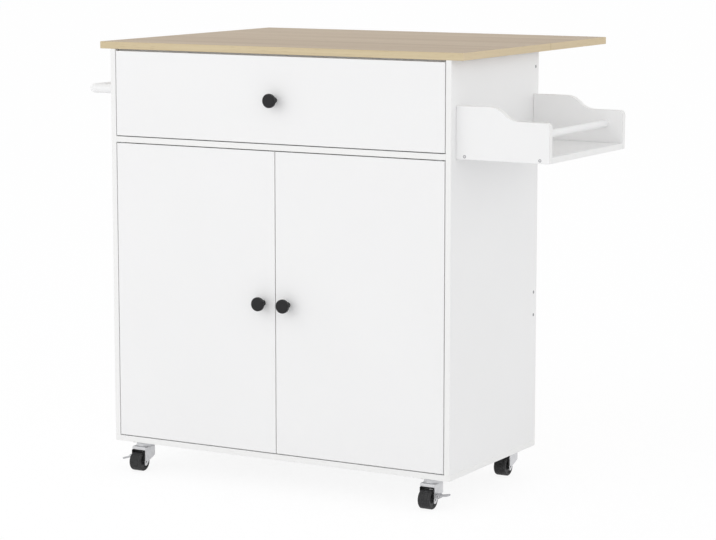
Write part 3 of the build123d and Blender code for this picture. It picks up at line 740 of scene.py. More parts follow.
# An outline in X and Z drawn along Y, and one in Y and Z drawn along X
FACING_FRONT = Matrix(((1, 0, 0, 0), (0, 0, -1, 0), (0, 1, 0, 0), (0, 0, 0, 1)))
FACING_SIDE = Matrix(((0, 0, 1, 0), (1, 0, 0, 0), (0, 1, 0, 0), (0, 0, 0, 1)))


def arc(centre: Point, radius: float, start: float, end: float, steps: int) -> list[Point]:
    """Points of an arc.

    Args:
        centre: its centre.
        radius: its radius.
        start, end: its first and last direction in degrees.
        steps: number of chords.

    Returns:
        The points, both ends included.
    """
    angles = [math.radians(start + (end - start) * step / steps) for step in range(steps + 1)]
    return [(centre[0] + radius * math.cos(a), centre[1] + radius * math.sin(a)) for a in angles]


def mirrored(half: list[Point]) -> list[Point]:
    """A section from its upper half: the half's mirror image below height 0, then the half."""
    return [(radius, -height) for radius, height in half] + half[::-1]


def hand_over(thing: bpy.types.Object, body: str, slot: str, *nodes: str) -> None:
    """Put a finished piece on its body.

    Args:
        thing: the piece.
        body: the CAD body that it moves with.
        slot: the record's slot of its finish; not used.
        nodes: CAD nodes that it stands for.
    """
    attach(thing, body)
    if nodes:
        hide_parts(*nodes)
    LOG.info("%s: %d faces, on %s, for %s", thing.name, len(thing.data.polygons), body,
             ", ".join(nodes) or "no node")


def dress(finish: Finish, *nodes: str) -> None:
    """Give CAD nodes a finish and keep their shapes.

    Args:
        finish: the finish.
        nodes: names of the nodes.
    """
    for node in nodes:
        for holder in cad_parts[node].material_slots:
            holder.material = finish.material()
        LOG.info("%s: dressed in %s", node, finish.name)


# What repeats or follows a path


@dataclass(frozen=True)
class Fastener:
    """The template of a screw or bolt that points along +Z, with its head's top at 0."""

    head_radius: float = 3.5
    head_height: float = 2.0
    head_chamfer: float = 0.12
    dome: float = 0.35
    dome_rings: tuple[Point, ...] = ((0.0, 1.0), (0.45, 0.85), (0.8, 0.45), (0.96, 0.0))
    shank_radius: float = 2.0
    length: float = 34.0
    recess_width: float = 0.9
    recess_reach: float = 2.1
    recess_depth: float = 1.4
    sides: int = 28

    def shape(self) -> Shape:
        """A domed head with a cross recess, on a shank with a point.

        The dome's rings are shares of the head's radius and of the dome's height, and the
        chamfer is a share of the head's height.

        Returns:
            The screw's mesh.
        """
        r, h = self.head_radius, self.head_height
        profile = [(across * r, up * self.dome) for across, up in self.dome_rings]
        profile += [(r, -self.head_chamfer * h), (r, -h), (self.shank_radius, -h)]
        if self.length > h:
            profile += [(self.shank_radius, -max(self.length - 2 * self.shank_radius, h)),
                        (0.0, -self.length)]
        else:
            profile += [(0.0, -h)]
        screw = Shape.lathe(profile, self.sides)
        reach, half = self.recess_reach, self.recess_width / 2
        for x, y in ((reach, half), (half, reach)):
            screw.solid(Join.CUT, Shape.block((-x, -y, -self.recess_depth), (x, y, h)))
        return screw


@dataclass
class FastenerField:
    """Screws that all come from one template, each turned by chance."""

    template: Fastener
    seed: int = 11

    def tree(self) -> GrowthTree:
        """The tree that stands a turned copy of the template on each point.

        Returns:
            The tree.
        """
        tree = GrowthTree("fastener_field", (("Screw", "Object"), ("Seed", "Int")))
        aim = tree.add("GeometryNodeInputNamedAttribute", {"Name": "aim"},
                       data_type="FLOAT_VECTOR")
        upright = tree.add("FunctionNodeAlignRotationToVector", {"Vector": aim}, axis="Z")
        chance = tree.add("FunctionNodeRandomValue",
                          {2: 0.0, 3: math.tau, "Seed": tree.given["Seed"]},
                          data_type="FLOAT").outputs[1]
        twist = tree.add("FunctionNodeAxisAngleToRotation",
                         {"Axis": Axis.Z.value, "Angle": chance})
        turned = tree.add("FunctionNodeRotateRotation", {"Rotation": upright, "Rotate By": twist},
                          rotation_space="LOCAL")
        screw = tree.add("GeometryNodeObjectInfo", {"Object": tree.given["Screw"]})
        copies = tree.add("GeometryNodeInstanceOnPoints",
                          {"Points": tree.given["Geometry"], "Instance": screw.outputs["Geometry"],
                           "Rotation": turned})
        tree.close(copies)
        return tree

    def shape(self, places: Sequence[tuple[Triple, Triple]], finish: Finish) -> Shape:
        """Screws at the given places.

        Args:
            places: the middle of each head's top and the way it faces.
            finish: their finish.

        Returns:
            All the screws as one mesh.
        """
        cloud = bpy.data.meshes.new("screw_places")
        cloud.from_pydata([place for place, _ in places], [], [])
        aim = cloud.attributes.new("aim", "FLOAT_VECTOR", "POINT")
        aim.data.foreach_set("vector", [part for _, way in places for part in way])
        template = linked("screw_template", self.template.shape().held("screw"))
        shape = self.tree().grown(linked("screw_points", cloud), Screw=template, Seed=self.seed,
                                  Finish=finish.material())
        bpy.data.objects.remove(template)
        return shape


@dataclass
class BentTube:
    """A round tube that follows straight runs joined by arcs."""

    radius: float
    bend: float = 0.0
    bend_steps: int = 12
    sides: int = 40

    def tree(self) -> GrowthTree:
        """The tree that turns a polyline into a tube.

        Returns:
            The tree.
        """
        tree = GrowthTree("bent_tube", (("Radius", "Float"), ("Bend", "Float"), ("Steps", "Int"),
                                        ("Sides", "Int")))
        path = tree.add("GeometryNodeMeshToCurve", {"Mesh": tree.given["Geometry"]})
        bent = tree.add("GeometryNodeFilletCurve", {"Curve": path, "Radius": tree.given["Bend"],
                                                    "Count": tree.given["Steps"]}, mode="POLY")
        ring = tree.add("GeometryNodeCurvePrimitiveCircle", {"Resolution": tree.given["Sides"],
                                                             "Radius": tree.given["Radius"]})
        tube = tree.add("GeometryNodeCurveToMesh", {"Curve": bent, "Profile Curve": ring,
                                                    "Fill Caps": True})
        tree.close(tube)
        return tree

    def shape(self, points: Sequence[Triple], finish: Finish) -> Shape:
        """The tube along the given corners.

        Args:
            points: corners of its middle line.
            finish: its finish.

        Returns:
            The tube's mesh.
        """
        line = bpy.data.meshes.new("tube_path")
        line.from_pydata(points, [(index, index + 1) for index in range(len(points) - 1)], [])
        return self.tree().grown(linked("tube_path", line), Radius=self.radius, Bend=self.bend,
                                 Steps=self.bend_steps, Sides=self.sides,
                                 Finish=finish.material()).outward()


@dataclass
class Ring:
    """Copies of one shape set evenly round the Z axis."""

    count: int

    def tree(self) -> GrowthTree:
        """The tree that turns each copy a step further.

        Returns:
            The tree.
        """
        tree = GrowthTree("ring", (("Count", "Int"), ("Part", "Object")))
        points = tree.add("GeometryNodePoints", {"Count": tree.given["Count"]})
        step = tree.math("DIVIDE", math.tau, tree.given["Count"])
        angle = tree.math("MULTIPLY", tree.add("GeometryNodeInputIndex").outputs[0], step)
        turn = tree.add("FunctionNodeAxisAngleToRotation",
                        {"Axis": Axis.Z.value, "Angle": angle})
        part = tree.add("GeometryNodeObjectInfo", {"Object": tree.given["Part"]})
        copies = tree.add("GeometryNodeInstanceOnPoints",
                          {"Points": points, "Instance": part.outputs["Geometry"],
                           "Rotation": turn})
        tree.close(copies)
        return tree

    def shape(self, part: Shape, finish: Finish) -> Shape:
        """The ring.

        Args:
            part: the shape to repeat.
            finish: its finish.

        Returns:
            All the copies as one mesh.
        """
        template = linked("ring_part", part.held("ring_part"))
        host = linked("ring_host", bpy.data.meshes.new("ring_host"))
        shape = self.tree().grown(host, Count=self.count, Part=template, Finish=finish.material())
        bpy.data.objects.remove(template)
        return shape


# The cart's sub-assemblies


@dataclass
class Carcass:
    """White boards, and the screws and cam locks that hold them."""

    screw_over_joint: float = 332.0
    cam: Fastener = Fastener(head_radius=7.5, dome=0.0, length=0.0, recess_width=1.6,
                             recess_reach=4.5, recess_depth=2.5)

    def make(self) -> None:
        """Dress the boards and make their fasteners."""
        dress(BOARD_X, "left_side_panel", "right_side_panel")
        dress(BOARD_Y, "rear_top_stretcher")
        dress(BOARD_Z, "bottom_board", "divider_board", "shelf", "front_top_stretcher")
        dress(BACK_BOARD, "upper_back_board", "lower_back_board")
        dress(ZINC, "shelf_pins")
        self.panel_screws()
        self.cam_locks()

    def panel_screws(self) -> None:
        """Screws through the side panels into the back boards."""
        width = node_box("right_side_panel")[1].x
        low, high = node_box("panel_screws")
        y = (low.y + high.y) / 2
        inset = (high.y - low.y) / 2
        heights = (low.z + inset, self.screw_over_joint, high.z - inset)
        places = [((x, y, z), (way, 0.0, 0.0))
                  for x, way in ((0.0, -1.0), (width, 1.0)) for z in heights]
        shape = FastenerField(Fastener()).shape(places, SCREW_STEEL)
        hand_over(shape.piece("panel_screw_heads", SCREW_STEEL), "root", "zinc_steel",
                  "panel_screws")

    def cam_locks(self) -> None:
        """Round cams under the divider board, each with a cross slot."""
        low, high = node_box("cam_locks")
        r = self.cam.head_radius
        places = [((x, y, low.z), (0.0, 0.0, -1.0)) for x in (low.x + r, high.x - r)
                  for y in (low.y + r, high.y - r)]
        cam = replace(self.cam, head_height=high.z - low.z)
        shape = FastenerField(cam, seed=5).shape(places, ZINC)
        hand_over(shape.piece("cam_lock_discs", ZINC), "root", "zinc_steel", "cam_locks")


@dataclass
class Worktop:
    """The oak board over the cabinet and the leaf behind it, with their edge bands."""

    edge_round: float = 0.8
    nearly_flat: float = 0.9

    def make(self) -> None:
        """Make both boards."""
        for node, body in (("worktop", "root"), ("drop_leaf", "drop_leaf")):
            board = self.board(node)
            thing = board.piece(node + "_board", OAK_TOP, OAK_FRONT_BAND, OAK_END_BAND)
            hand_over(thing, body, "oak_board", node)

    def board(self, node: str) -> Shape:
        """A board of the node's size.

        Args:
            node: the CAD node that it stands for.

        Returns:
            The board, with its bands' faces marked.
        """
        board = Shape.block(*node_box(node), radius=self.edge_round, steps=3)
        for face in board.mesh.faces:
            way = face.normal
            if abs(way.z) < self.nearly_flat:
                face.material_index = 1 if abs(way.y) >= abs(way.x) else 2
        return board


@dataclass
class LeafFittings:
    """Hinges and folding stays of the leaf."""

    hinge_middles: tuple[float, ...] = (110.0, 404.0, 698.0)
    wing_thickness: float = 1.3
    screw_columns: tuple[float, ...] = (-24.0, 0.0, 24.0)
    screw_out: float = 13.0
    screw: Fastener = Fastener(head_radius=2.9, head_height=1.0, dome=0.3, shank_radius=1.5,
                               length=11.0, recess_width=0.8, recess_reach=1.8, recess_depth=0.9)

    def make(self) -> None:
        """Dress the fittings and screw the hinges on."""
        dress(ZINC, "leaf_hinge_fixed_wings", "leaf_hinge_moving_wings", "leaf_hinge_pins",
              "stay_brackets", "stay_channels", "left_stay_strut", "right_stay_strut")
        seam = (node_box("worktop")[1].y + node_box("drop_leaf")[0].y) / 2
        under = node_box("worktop")[0].z - self.wing_thickness
        for side, body, name in ((-1.0, "root", "fixed"), (1.0, "drop_leaf", "moving")):
            places = [((middle + x, seam + side * self.screw_out, under), (0.0, 0.0, -1.0))
                      for middle in self.hinge_middles for x in self.screw_columns]
            shape = FastenerField(self.screw, seed=3).shape(places, ZINC)
            hand_over(shape.piece(name + "_wing_screws", ZINC), body, "zinc_steel")


@dataclass
class Knob:
    """A black knob: flared foot, waist and a flat disc with a soft rim, on a screw."""

    node: str
    body: str
    reach: float = 26.0
    disc_radius: float = 14.5
    disc_thickness: float = 8.6
    disc_back_round: float = 1.4
    rim: float = 2.6
    face_ring: float = 0.45
    neck_radius: float = 5.6
    foot_radius: float = 6.2
    foot_height: float = 0.9
    foot_power: float = 2.6
    flare: float = 3.4
    flare_power: float = 3.0
    waist_steps: int = 9
    screw_head_top: float = 2.5
    screw: Fastener = Fastener(head_radius=4.5, head_height=2.1, dome=0.4, length=22.0,
                               recess_width=1.1, recess_reach=2.6)

    def profile(self) -> list[Point]:
        """Half section from the foot to the middle of the disc.

        The face's ring is a share of the disc's radius.

        Returns:
            Radius and height of each point.
        """
        back, foot, curve = self.reach - self.disc_thickness, self.foot_height, self.disc_back_round
        points: list[Point] = [(0.0, 0.0), (self.foot_radius, 0.0), (self.foot_radius, foot)]
        for step in range(1, self.waist_steps + 1):
            way = step / self.waist_steps
            spread = (self.foot_radius - self.neck_radius) * (1 - way) ** self.foot_power
            flare = self.flare * way ** self.flare_power
            points.append((self.neck_radius + spread + flare, foot + (back - foot) * way))
        points += arc((self.disc_radius - curve, back + curve), curve, -90, 0, 5)
        points += arc((self.disc_radius - self.rim, self.reach - self.rim), self.rim, 0, 90, 8)
        return points + [(self.face_ring * self.disc_radius, self.reach), (0.0, self.reach)]

    def make(self) -> None:
        """Turn the knob and put its screw behind the board."""
        low, high = node_box(self.node)
        x, z = (low.x + high.x) / 2, (low.z + high.z) / 2
        knob = Shape.lathe(self.profile(), 64)
        behind = aimed((0, 0, self.screw.dome - self.screw_head_top - BOARD), (0, 0, -1))
        knob.beside(self.screw.shape().placed(behind).painted(1))
        knob.placed(aimed((x, 0.0, z), (0, -1, 0)))
        thing = knob.piece(self.node + "_turned", BLACK_PAINT, ZINC)
        hand_over(thing, self.body, "black_knob", self.node)


@dataclass
class Drawer:
    """Drawer front, box and slides."""

    def make(self) -> None:
        """Dress the boards and slides, and put the knob on."""
        dress(BOARD_Y, "drawer_front", "drawer_back")
        dress(BOARD_X, "drawer_left_side", "drawer_right_side")
        dress(BACK_BOARD, "drawer_bottom")
        dress(ZINC, "slide_cabinet_members", "slide_drawer_members", "slide_ball_cages")
        Knob("drawer_knob", "drawer").make()


@dataclass
class Doors:
    """The two doors, their pivots and the magnetic catch."""

    def make(self) -> None:
        """Dress the doors and what they turn on, and put the knobs on."""
        for side in ("left", "right"):
            dress(BOARD_Y, side + "_door")
            dress(ZINC, side + "_door_pivots", side + "_strike_plate")
            Knob(side + "_door_knob", side + "_door").make()
        dress(GREY_NYLON, "pivot_bushings", "magnetic_catch")


@dataclass
class SpiceRack:
    """Two shaped panels, a shelf and a round rail on the right side of the cabinet."""

    curve_start: float = 73.0
    curve_length: float = 64.0
    low_height: float = 79.0
    corner: float = 9.0
    edge_round: float = 1.2
    shelf_round: float = 0.8
    shelf_gap: float = 1.6
    rail_radius: float = 7.5
    screw_columns: tuple[float, float] = (19.0, 182.0)
    fixing_heights: tuple[float, float] = (26.0, 85.0)

    def outline(self, length: float, height: float) -> list[Point]:
        """A panel's outline.

        Args:
            length: how far it stands out.
            height: its height beside the cabinet.

        Returns:
            Points from the lower inner corner round to the upper one.
        """
        drop = height - self.low_height
        turn = 2 * math.asin(drop / math.hypot(drop, self.curve_length))
        radius = self.curve_length / (2 * math.sin(turn))
        angle = math.degrees(turn)
        end = self.curve_start + self.curve_length
        points: list[Point] = [(0.0, 0.0), (length, 0.0)]
        points += arc((length - self.corner, self.low_height - self.corner), self.corner, 0, 90, 8)
        points += arc((end, self.low_height + radius), radius, 270, 270 - angle, 9)
        points += arc((self.curve_start, height - radius), radius, 90 - angle, 90, 9)[1:]
        return points + [(0.0, height)]

    def make(self) -> None:
        """Make the panels, the shelf, the rail and the screws."""
        for node in ("spice_rack_front_panel", "spice_rack_back_panel"):
            low, high = node_box(node)
            panel = Shape.prism(self.outline(high.x - low.x, high.z - low.z), high.y - low.y)
            panel.placed(Matrix.Translation((low.x, high.y, low.z)) @ FACING_FRONT)
            hand_over(panel.rounded(self.edge_round, 3).piece(node + "_shaped", BOARD_Y), "root",
                      "white_board", node)
        low, high = node_box("spice_rack_shelf")
        high.y -= self.shelf_gap
        shelf = Shape.block(low, high, radius=self.shelf_round, steps=3)
        hand_over(shelf.piece("spice_rack_shelf_board", BOARD_Z), "root", "white_board",
                  "spice_rack_shelf")
        low, high = node_box("spice_rack_rail")
        x, z = (low.x + high.x) / 2, (low.z + high.z) / 2
        rail = BentTube(self.rail_radius, sides=48)
        rail = rail.shape([(x, low.y, z), (x, high.y, z)], WHITE_COAT)
        hand_over(rail.piece("spice_rack_rail_dowel", WHITE_COAT), "root", "white_board",
                  "spice_rack_rail")
        self.screws()

    def screws(self) -> None:
        """Screws through the panels into the shelf, and from the cabinet into the panels."""
        front = node_box("spice_rack_front_panel")[0]
        back = node_box("spice_rack_back_panel")[1]
        inside = node_box("right_side_panel")[0].x
        half = BOARD / 2
        places = [((front.x + column, y, front.z + half), (0.0, way, 0.0))
                  for column in self.screw_columns for y, way in ((front.y, -1.0), (back.y, 1.0))]
        places += [((inside, y, front.z + height), (-1.0, 0.0, 0.0))
                   for y in (front.y + half, back.y - half) for height in self.fixing_heights]
        shape = FastenerField(Fastener(), seed=23).shape(places, SCREW_STEEL)
        hand_over(shape.piece("spice_rack_screw_heads", SCREW_STEEL), "root", "zinc_steel",
                  "spice_rack_screws")


@dataclass
class TowelBar:
    """The bent white tube on the left side and the bolts that hold it."""

    bend: float = 18.0
    bolt_head_top: float = 3.0
    bolt: Fastener = Fastener(head_radius=5.0, head_height=2.5, dome=0.5, shank_radius=2.5,
                              length=20.0, recess_width=1.2, recess_reach=3.0)

    def make(self) -> None:
        """Bend the tube and set the bolts inside the cabinet."""
        low, high = node_box("towel_bar")
        radius = (high.z - low.z) / 2
        z = low.z + radius
        out = low.x + radius
        ends = (low.y + radius, high.y - radius)
        corners = [(0.0, ends[0], z), (out, ends[0], z), (out, ends[1], z), (0.0, ends[1], z)]
        tube = BentTube(radius, self.bend, sides=56).shape(corners, WHITE_COAT)
        hand_over(tube.piece("towel_bar_tube", WHITE_COAT), "root", "white_steel", "towel_bar")
        seat = BOARD + self.bolt_head_top - self.bolt.dome
        places = [((seat, y, z), (1.0, 0.0, 0.0)) for y in ends]
        shape = FastenerField(self.bolt, seed=2).shape(places, ZINC)
        hand_over(shape.piece("towel_bar_bolt_heads", ZINC), "root", "zinc_steel",
                  "towel_bar_bolts")


@dataclass
class Caster:
    """A swivel caster: pressed fork, wheel and, at the front, a brake lever.

    Places are from the swivel axis, and depths from under the bottom board.
    """

    name: str
    x: float
    y: float
    side: int
    pressed: bool = False

    # Shared by several pieces; far is past the caster on every side
    far: float = 90.0
    play: float = 0.05
    chamfer: float = 0.5
    edge: float = 0.3

    # Wheel: a tyre on a hub with ribs
    wheel_radius: float = 20.0
    wheel_width: float = 27.0
    tyre: float = 5.0
    tyre_seat: float = 0.6
    shoulder: float = 2.5
    grooves: int = 5
    groove_margin: float = 1.0
    groove_width: float = 0.9
    groove_depth: float = 0.5
    hub_recess: float = 2.2
    hub_step: float = 1.0
    hub_rim: float = 1.6
    hub_boss: float = 6.5
    hub_fit: float = 0.02
    ribs: int = 6
    rib_gauge: float = 1.6
    rib_inset: float = 2.0
    rib_root: float = 0.4

    # Axle, its riveted heads and the dimple in each
    trail: float = 21.6
    axle_drop: float = 43.0
    axle_radius: float = 3.0
    axle_head: float = 4.2
    axle_head_height: float = 0.5
    dimple: float = 2.0
    dimple_floor: float = 1.6
    dimple_depth: float = 0.3

    # Fork: the nose is before the axle, the tip an arc round a point near the axle
    gauge: float = 2.0
    side_gap: float = 1.5
    crown: float = 11.0
    lip: float = 18.0
    fold: float = 2.4
    nose: float = 2.0
    behind: float = 13.0
    heel_rise: float = 10.0
    waist_behind: float = 1.0
    waist_rise: float = 4.5
    throat_behind: float = 12.75
    throat_rise: float = 1.5
    tip_behind: float = 5.0
    tip_drop: float = 6.9
    tip_middle: Point = (0.9, -3.3)
    tip_radius: float = 5.2
    tip_angles: tuple[float, float] = (-70.0, -150.0)
    fork_round: float = 0.35
    fork_sharp: float = 60.0
    face_margin: float = 0.1

    # Bearing cup on the fork's crown
    cup_radius: float = 18.0
    cup_top: float = 2.9
    cup_round: float = 2.5
    cup_foot_rise: float = 1.2
    flange: float = 0.6
    flange_rise: float = 0.4
    flange_sink: float = 0.5
    pin_radius: float = 4.0

    # Black sheet of painted shade between the wheel and the fork
    shade_liner_gauge: float = 1.2
    shade_liner_reach: float = 5.0
    shade_liner_back: float = -8.0
    shade_liner_below: float = 3.0
    shade_liner_top: float = 18.2
    shade_liner_roof: float = 21.4

    # Brake lever, its ears and its pin; the bore's cutter ends past both ends of the hub
    hub_front: float = -21.0
    hub_rear: float = -9.0
    ear_radius: float = 3.0
    ear_gauge: float = 2.0
    ear_gap: float = 0.3
    ear_root: float = 0.4
    lever_rise: float = 7.4
    lever_hub: float = 5.0
    lever_pin: float = 1.5
    bore_ends: tuple[float, float] = (-40.0, 30.0)
    pedal_root: float = 2.0
    pedal_reach: float = 24.2
    pedal_gauge: float = 3.5
    pedal_corner: float = 4.0
    pedal_curl: float = 0.8
    pedal_round: float = 0.7
    lever_tilt: float = 9.75
    lever_swing: float = 28.0

    @property
    def half(self) -> float:
        """Half the fork's width."""
        return self.wheel_width / 2 + self.side_gap + self.gauge

    @property
    def lever_out(self) -> float:
        """From the wheel's middle to the lever's axis."""
        return self.half + self.axle_head_height + self.ear_gap + self.lever_hub

    @property
    def braked(self) -> bool:
        """Whether the caster has a lever."""
        return self.name.startswith("front")

    def make(self) -> None:
        """Make the fork, the wheel and the lever."""
        name, mm = self.name, (self.x, self.y, 0.0)
        fork = self.fork().beside(self.axle(), self.shade_liner())
        if self.braked:
            fork.beside(*self.ears())
            lever = self.lever().moved(*mm)
            hand_over(lever.piece(name + "_lever_pedal", LEVER_STEEL), name + "_brake",
                      "zinc_steel", name + "_brake_lever")
        fork = fork.moved(*mm).piece(name + "_fork_sheet", ZINC, SHADE_STEEL, SHADE_LINER, smooth=40.0)
        hand_over(fork, name + "_caster", "zinc_steel", name + "_caster_fork")
        wheel = self.wheel().placed(self.on_axle()).moved(*mm)
        hand_over(wheel.piece(name + "_wheel_tyre", TYRE, HUB), name + "_wheel", "black_tyre",
                  name + "_wheel")

    def on_axle(self) -> Matrix:
        """Matrix that puts the Z axis on the wheel's axle."""
        return aimed((0.0, -self.trail, -self.axle_drop), Axis.X.value)

    def fork(self) -> Shape:
        """The pressed sheet with its bearing cup.

        Returns:
            The fork round the swivel axis; the faces inside have the second finish, dark painted
            shade.
        """
        axle, drop, top, fold = -self.trail, -self.axle_drop, -self.crown, self.fold
        front, far = axle - self.nose, self.far
        side = [(front, drop)]
        side += arc((front + fold, top - fold), fold, 180, 90, 5)
        side += arc((self.behind - fold, top - fold), fold, 90, 0, 5)
        side += [(self.behind, drop + self.heel_rise), (self.waist_behind, drop + self.waist_rise),
                 (axle + self.throat_behind, drop + self.throat_rise),
                 (axle + self.tip_behind, drop - self.tip_drop)]
        side += arc((axle + self.tip_middle[0], drop + self.tip_middle[1]), self.tip_radius,
                    *self.tip_angles, 5)
        whole = Shape.prism(side, 2 * self.half)
        whole.placed(Matrix.Translation((-self.half, 0, 0)) @ FACING_SIDE)
        outer = arc((self.half - fold, top - fold), fold, 0, 90, 5)
        outer += arc((fold - self.half, top - fold), fold, 90, 180, 5)
        outer += [(-self.half, -far), (self.half, -far)]
        shell = Shape.prism(outer, far).placed(Matrix.Translation((0, far / 2, 0)) @ FACING_FRONT)
        whole.solid(Join.COMMON, shell)
        inner, back, roof = self.half - self.gauge, front + self.gauge, top - self.gauge
        room = Shape.block((-inner, back, -far), (inner, far / 2, roof))
        mouth = Shape.block((-inner, -far / 2, -far - 1.0), (inner, 0.0, -self.lip))
        whole.solid(Join.CUT, room).solid(Join.CUT, mouth)
        whole.rounded(self.fork_round, 2, self.fork_sharp)
        whole.solid(Join.ADD, Shape.lathe(self.cup(), 56))
        whole.solid(Join.CUT, Shape.rod(self.pin_radius + self.play, -far, far))
        # The faces inside the fork take the second finish, dark painted shade
        slack = self.face_margin
        for face in whole.mesh.faces:
            centre = face.calc_center_median()
            inside = abs(centre.x) < inner + slack and centre.z < roof + slack
            if inside and centre.y > back - slack:
                face.material_index = 1
        return whole

    def cup(self) -> list[Point]:
        """Half section of the bearing cup, whose foot flares out onto the crown.

        Returns:
            Radius and height of each point.
        """
        top, crown, bend = -self.cup_top, -self.crown, self.cup_round
        wall, sink = self.cup_radius, crown - self.flange_sink
        section = [(0.0, top), (wall - bend, top)]
        section += arc((wall - bend, top - bend), bend, 80, 0, 5)
        return section + [(wall, crown + self.cup_foot_rise),
                          (wall + self.flange, crown + self.flange_rise),
                          (wall + self.flange, sink), (0.0, sink)]

    def axle(self) -> Shape:
        """The axle with its riveted ends, dark in the middle.

        Returns:
            The axle in its place in the fork; the dimples carry dark painted shade.
        """
        end, floor = self.half + self.axle_head_height, self.dimple_depth
        upper = [(0.0, end - floor), (self.dimple_floor, end - floor), (self.dimple, end),
                 (self.axle_head - self.axle_head_height, end), (self.axle_head, self.half),
                 (self.axle_radius, self.half)]
        axle = Shape.lathe(mirrored(upper), 32)
        # The dimple's faces take the second finish, dark painted shade
        for face in axle.mesh.faces:
            centre = face.calc_center_median()
            if math.hypot(centre.x, centre.y) < self.dimple:
                face.material_index = 1
        return axle.placed(self.on_axle())

    def shade_liner(self) -> Shape:
        """Black sheet of painted shade between the wheel and the fork, open below and in front.

        Returns:
            The sheet of painted shade round the swivel axis, with the third finish.
        """
        side, far = self.half - self.gauge - self.play, self.far
        front = -self.trail - self.nose
        shade_sheet = Shape.block((-side, front - self.shade_liner_reach, -self.axle_drop - self.shade_liner_below),
                            (side, self.shade_liner_back, -self.shade_liner_top))
        inner = side - self.shade_liner_gauge
        for high in ((inner, far / 2, -self.shade_liner_roof), (inner, front, 0.0)):
            shade_sheet.solid(Join.CUT, Shape.block((-inner, -far / 2, -far), high))
        return shade_sheet.rounded(self.edge, 2).painted(2)

    def ears(self) -> list[Shape]:
        """Two ears on the fork and the lever's pin between them.

        Returns:
            The ears and the pin.
        """
        z, radius = self.lever_rise - self.axle_drop, self.ear_radius
        near, out = self.side * (self.half - self.ear_root), self.side * self.lever_out
        first = self.hub_front - self.ear_gap - self.ear_gauge
        last = self.hub_rear + self.ear_gap
        tip = [(out + self.side * (x - out), up) for x, up in arc((out, z), radius, 90, -90, 8)]
        made = []
        for start in (first, last):
            ear = Shape.prism([(near, z - radius), (near, z + radius), *tip], self.ear_gauge)
            ear.placed(Matrix.Translation((0, start + self.ear_gauge, 0)) @ FACING_FRONT)
            made.append(ear.outward().rounded(self.edge, 2))
        pin = Shape.rod(self.lever_pin, 0.0, last + self.ear_gauge - first, self.edge, 20)
        return made + [pin.placed(aimed((out, first, z), Axis.Y.value))]

    def lever(self) -> Shape:
        """A thick hub and a pedal in one piece.

        Returns:
            The lever round the swivel axis, turned as it stands at rest.
        """
        front, rear, along = self.hub_front, self.hub_rear, aimed((0, 0, 0), Axis.Y.value)
        reach, corner, thick = self.pedal_reach, self.pedal_corner, self.pedal_gauge
        hub = Shape.rod(self.lever_hub, front, rear, self.chamfer, 40).placed(along)
        outline: list[Point] = [(self.pedal_root, front + self.play)]
        outline += arc((reach - corner, front + corner), corner, -90, 0, 6)
        outline += arc((reach - corner, rear - corner), corner, 0, 90, 6)
        outline += [(self.pedal_root, rear - self.play)]
        pedal = Shape.prism(outline, thick).moved(0.0, 0.0, -thick / 2)
        pedal.rounded(self.pedal_round, 3)
        middle = reach / 2
        for vertex in pedal.mesh.verts:
            vertex.co.z += self.pedal_curl * max(0.0, (vertex.co.x - middle) / middle) ** 2
        pedal.placed(Matrix.Rotation(math.radians(-self.lever_tilt), 4, "Y"))
        bore = Shape.rod(self.lever_pin + self.play, *self.bore_ends, sides=20)
        hub.solid(Join.ADD, pedal).solid(Join.CUT, bore.placed(along))
        if self.pressed:
            hub.placed(Matrix.Rotation(math.radians(self.lever_swing), 4, "Y"))
        if self.side < 0:
            hub.placed(Matrix.Scale(-1.0, 4, Axis.X.value)).outward()
        return hub.moved(self.side * self.lever_out, 0.0, self.lever_rise - self.axle_drop)

    def wheel(self) -> Shape:
        """Grooved tyre on a ribbed hub, both round the Z axis.

        Returns:
            The wheel; the hub's faces have the second finish.
        """
        half, outer = self.wheel_width / 2, self.wheel_radius
        inner, flank = outer - self.tyre, outer - self.shoulder
        upper: list[Point] = [(inner, half - self.tyre_seat), (flank - self.tyre_seat, half)]
        upper += arc((flank, half - self.shoulder), self.shoulder, 80, 0, 5)
        section = [(radius, -height) for radius, height in upper]
        pitch = 2 * (half - self.shoulder - self.groove_margin) / self.grooves
        wide, floor = self.groove_width / 2, outer - self.groove_depth
        for index in range(self.grooves):
            middle = (index - (self.grooves - 1) / 2) * pitch
            section += [(outer, middle - wide), (floor, middle - wide / 2),
                        (floor, middle + wide / 2), (outer, middle + wide)]
        tyre = Shape.lathe(section + upper[::-1], 72, ring=True)
        web, rim, boss = half - self.hub_recess, inner - self.hub_rim, self.hub_boss
        step, seat, cut = half - self.hub_step, inner - self.hub_fit, self.chamfer
        hub = Shape.lathe(mirrored([(self.axle_radius + self.play, half), (boss - cut, half),
                                    (boss, half - cut), (boss, web), (rim, web),
                                    (rim, step), (seat, step)]), 64, ring=True)
        root, thick, end = self.rib_root, self.rib_gauge / 2, half - self.rib_inset
        rib = Shape.block((boss - root, -thick, -end), (rim + root, thick, end))
        ribs = Ring(self.ribs).shape(rib, HUB)
        return tyre.beside(hub.painted(1), ribs.painted(1))


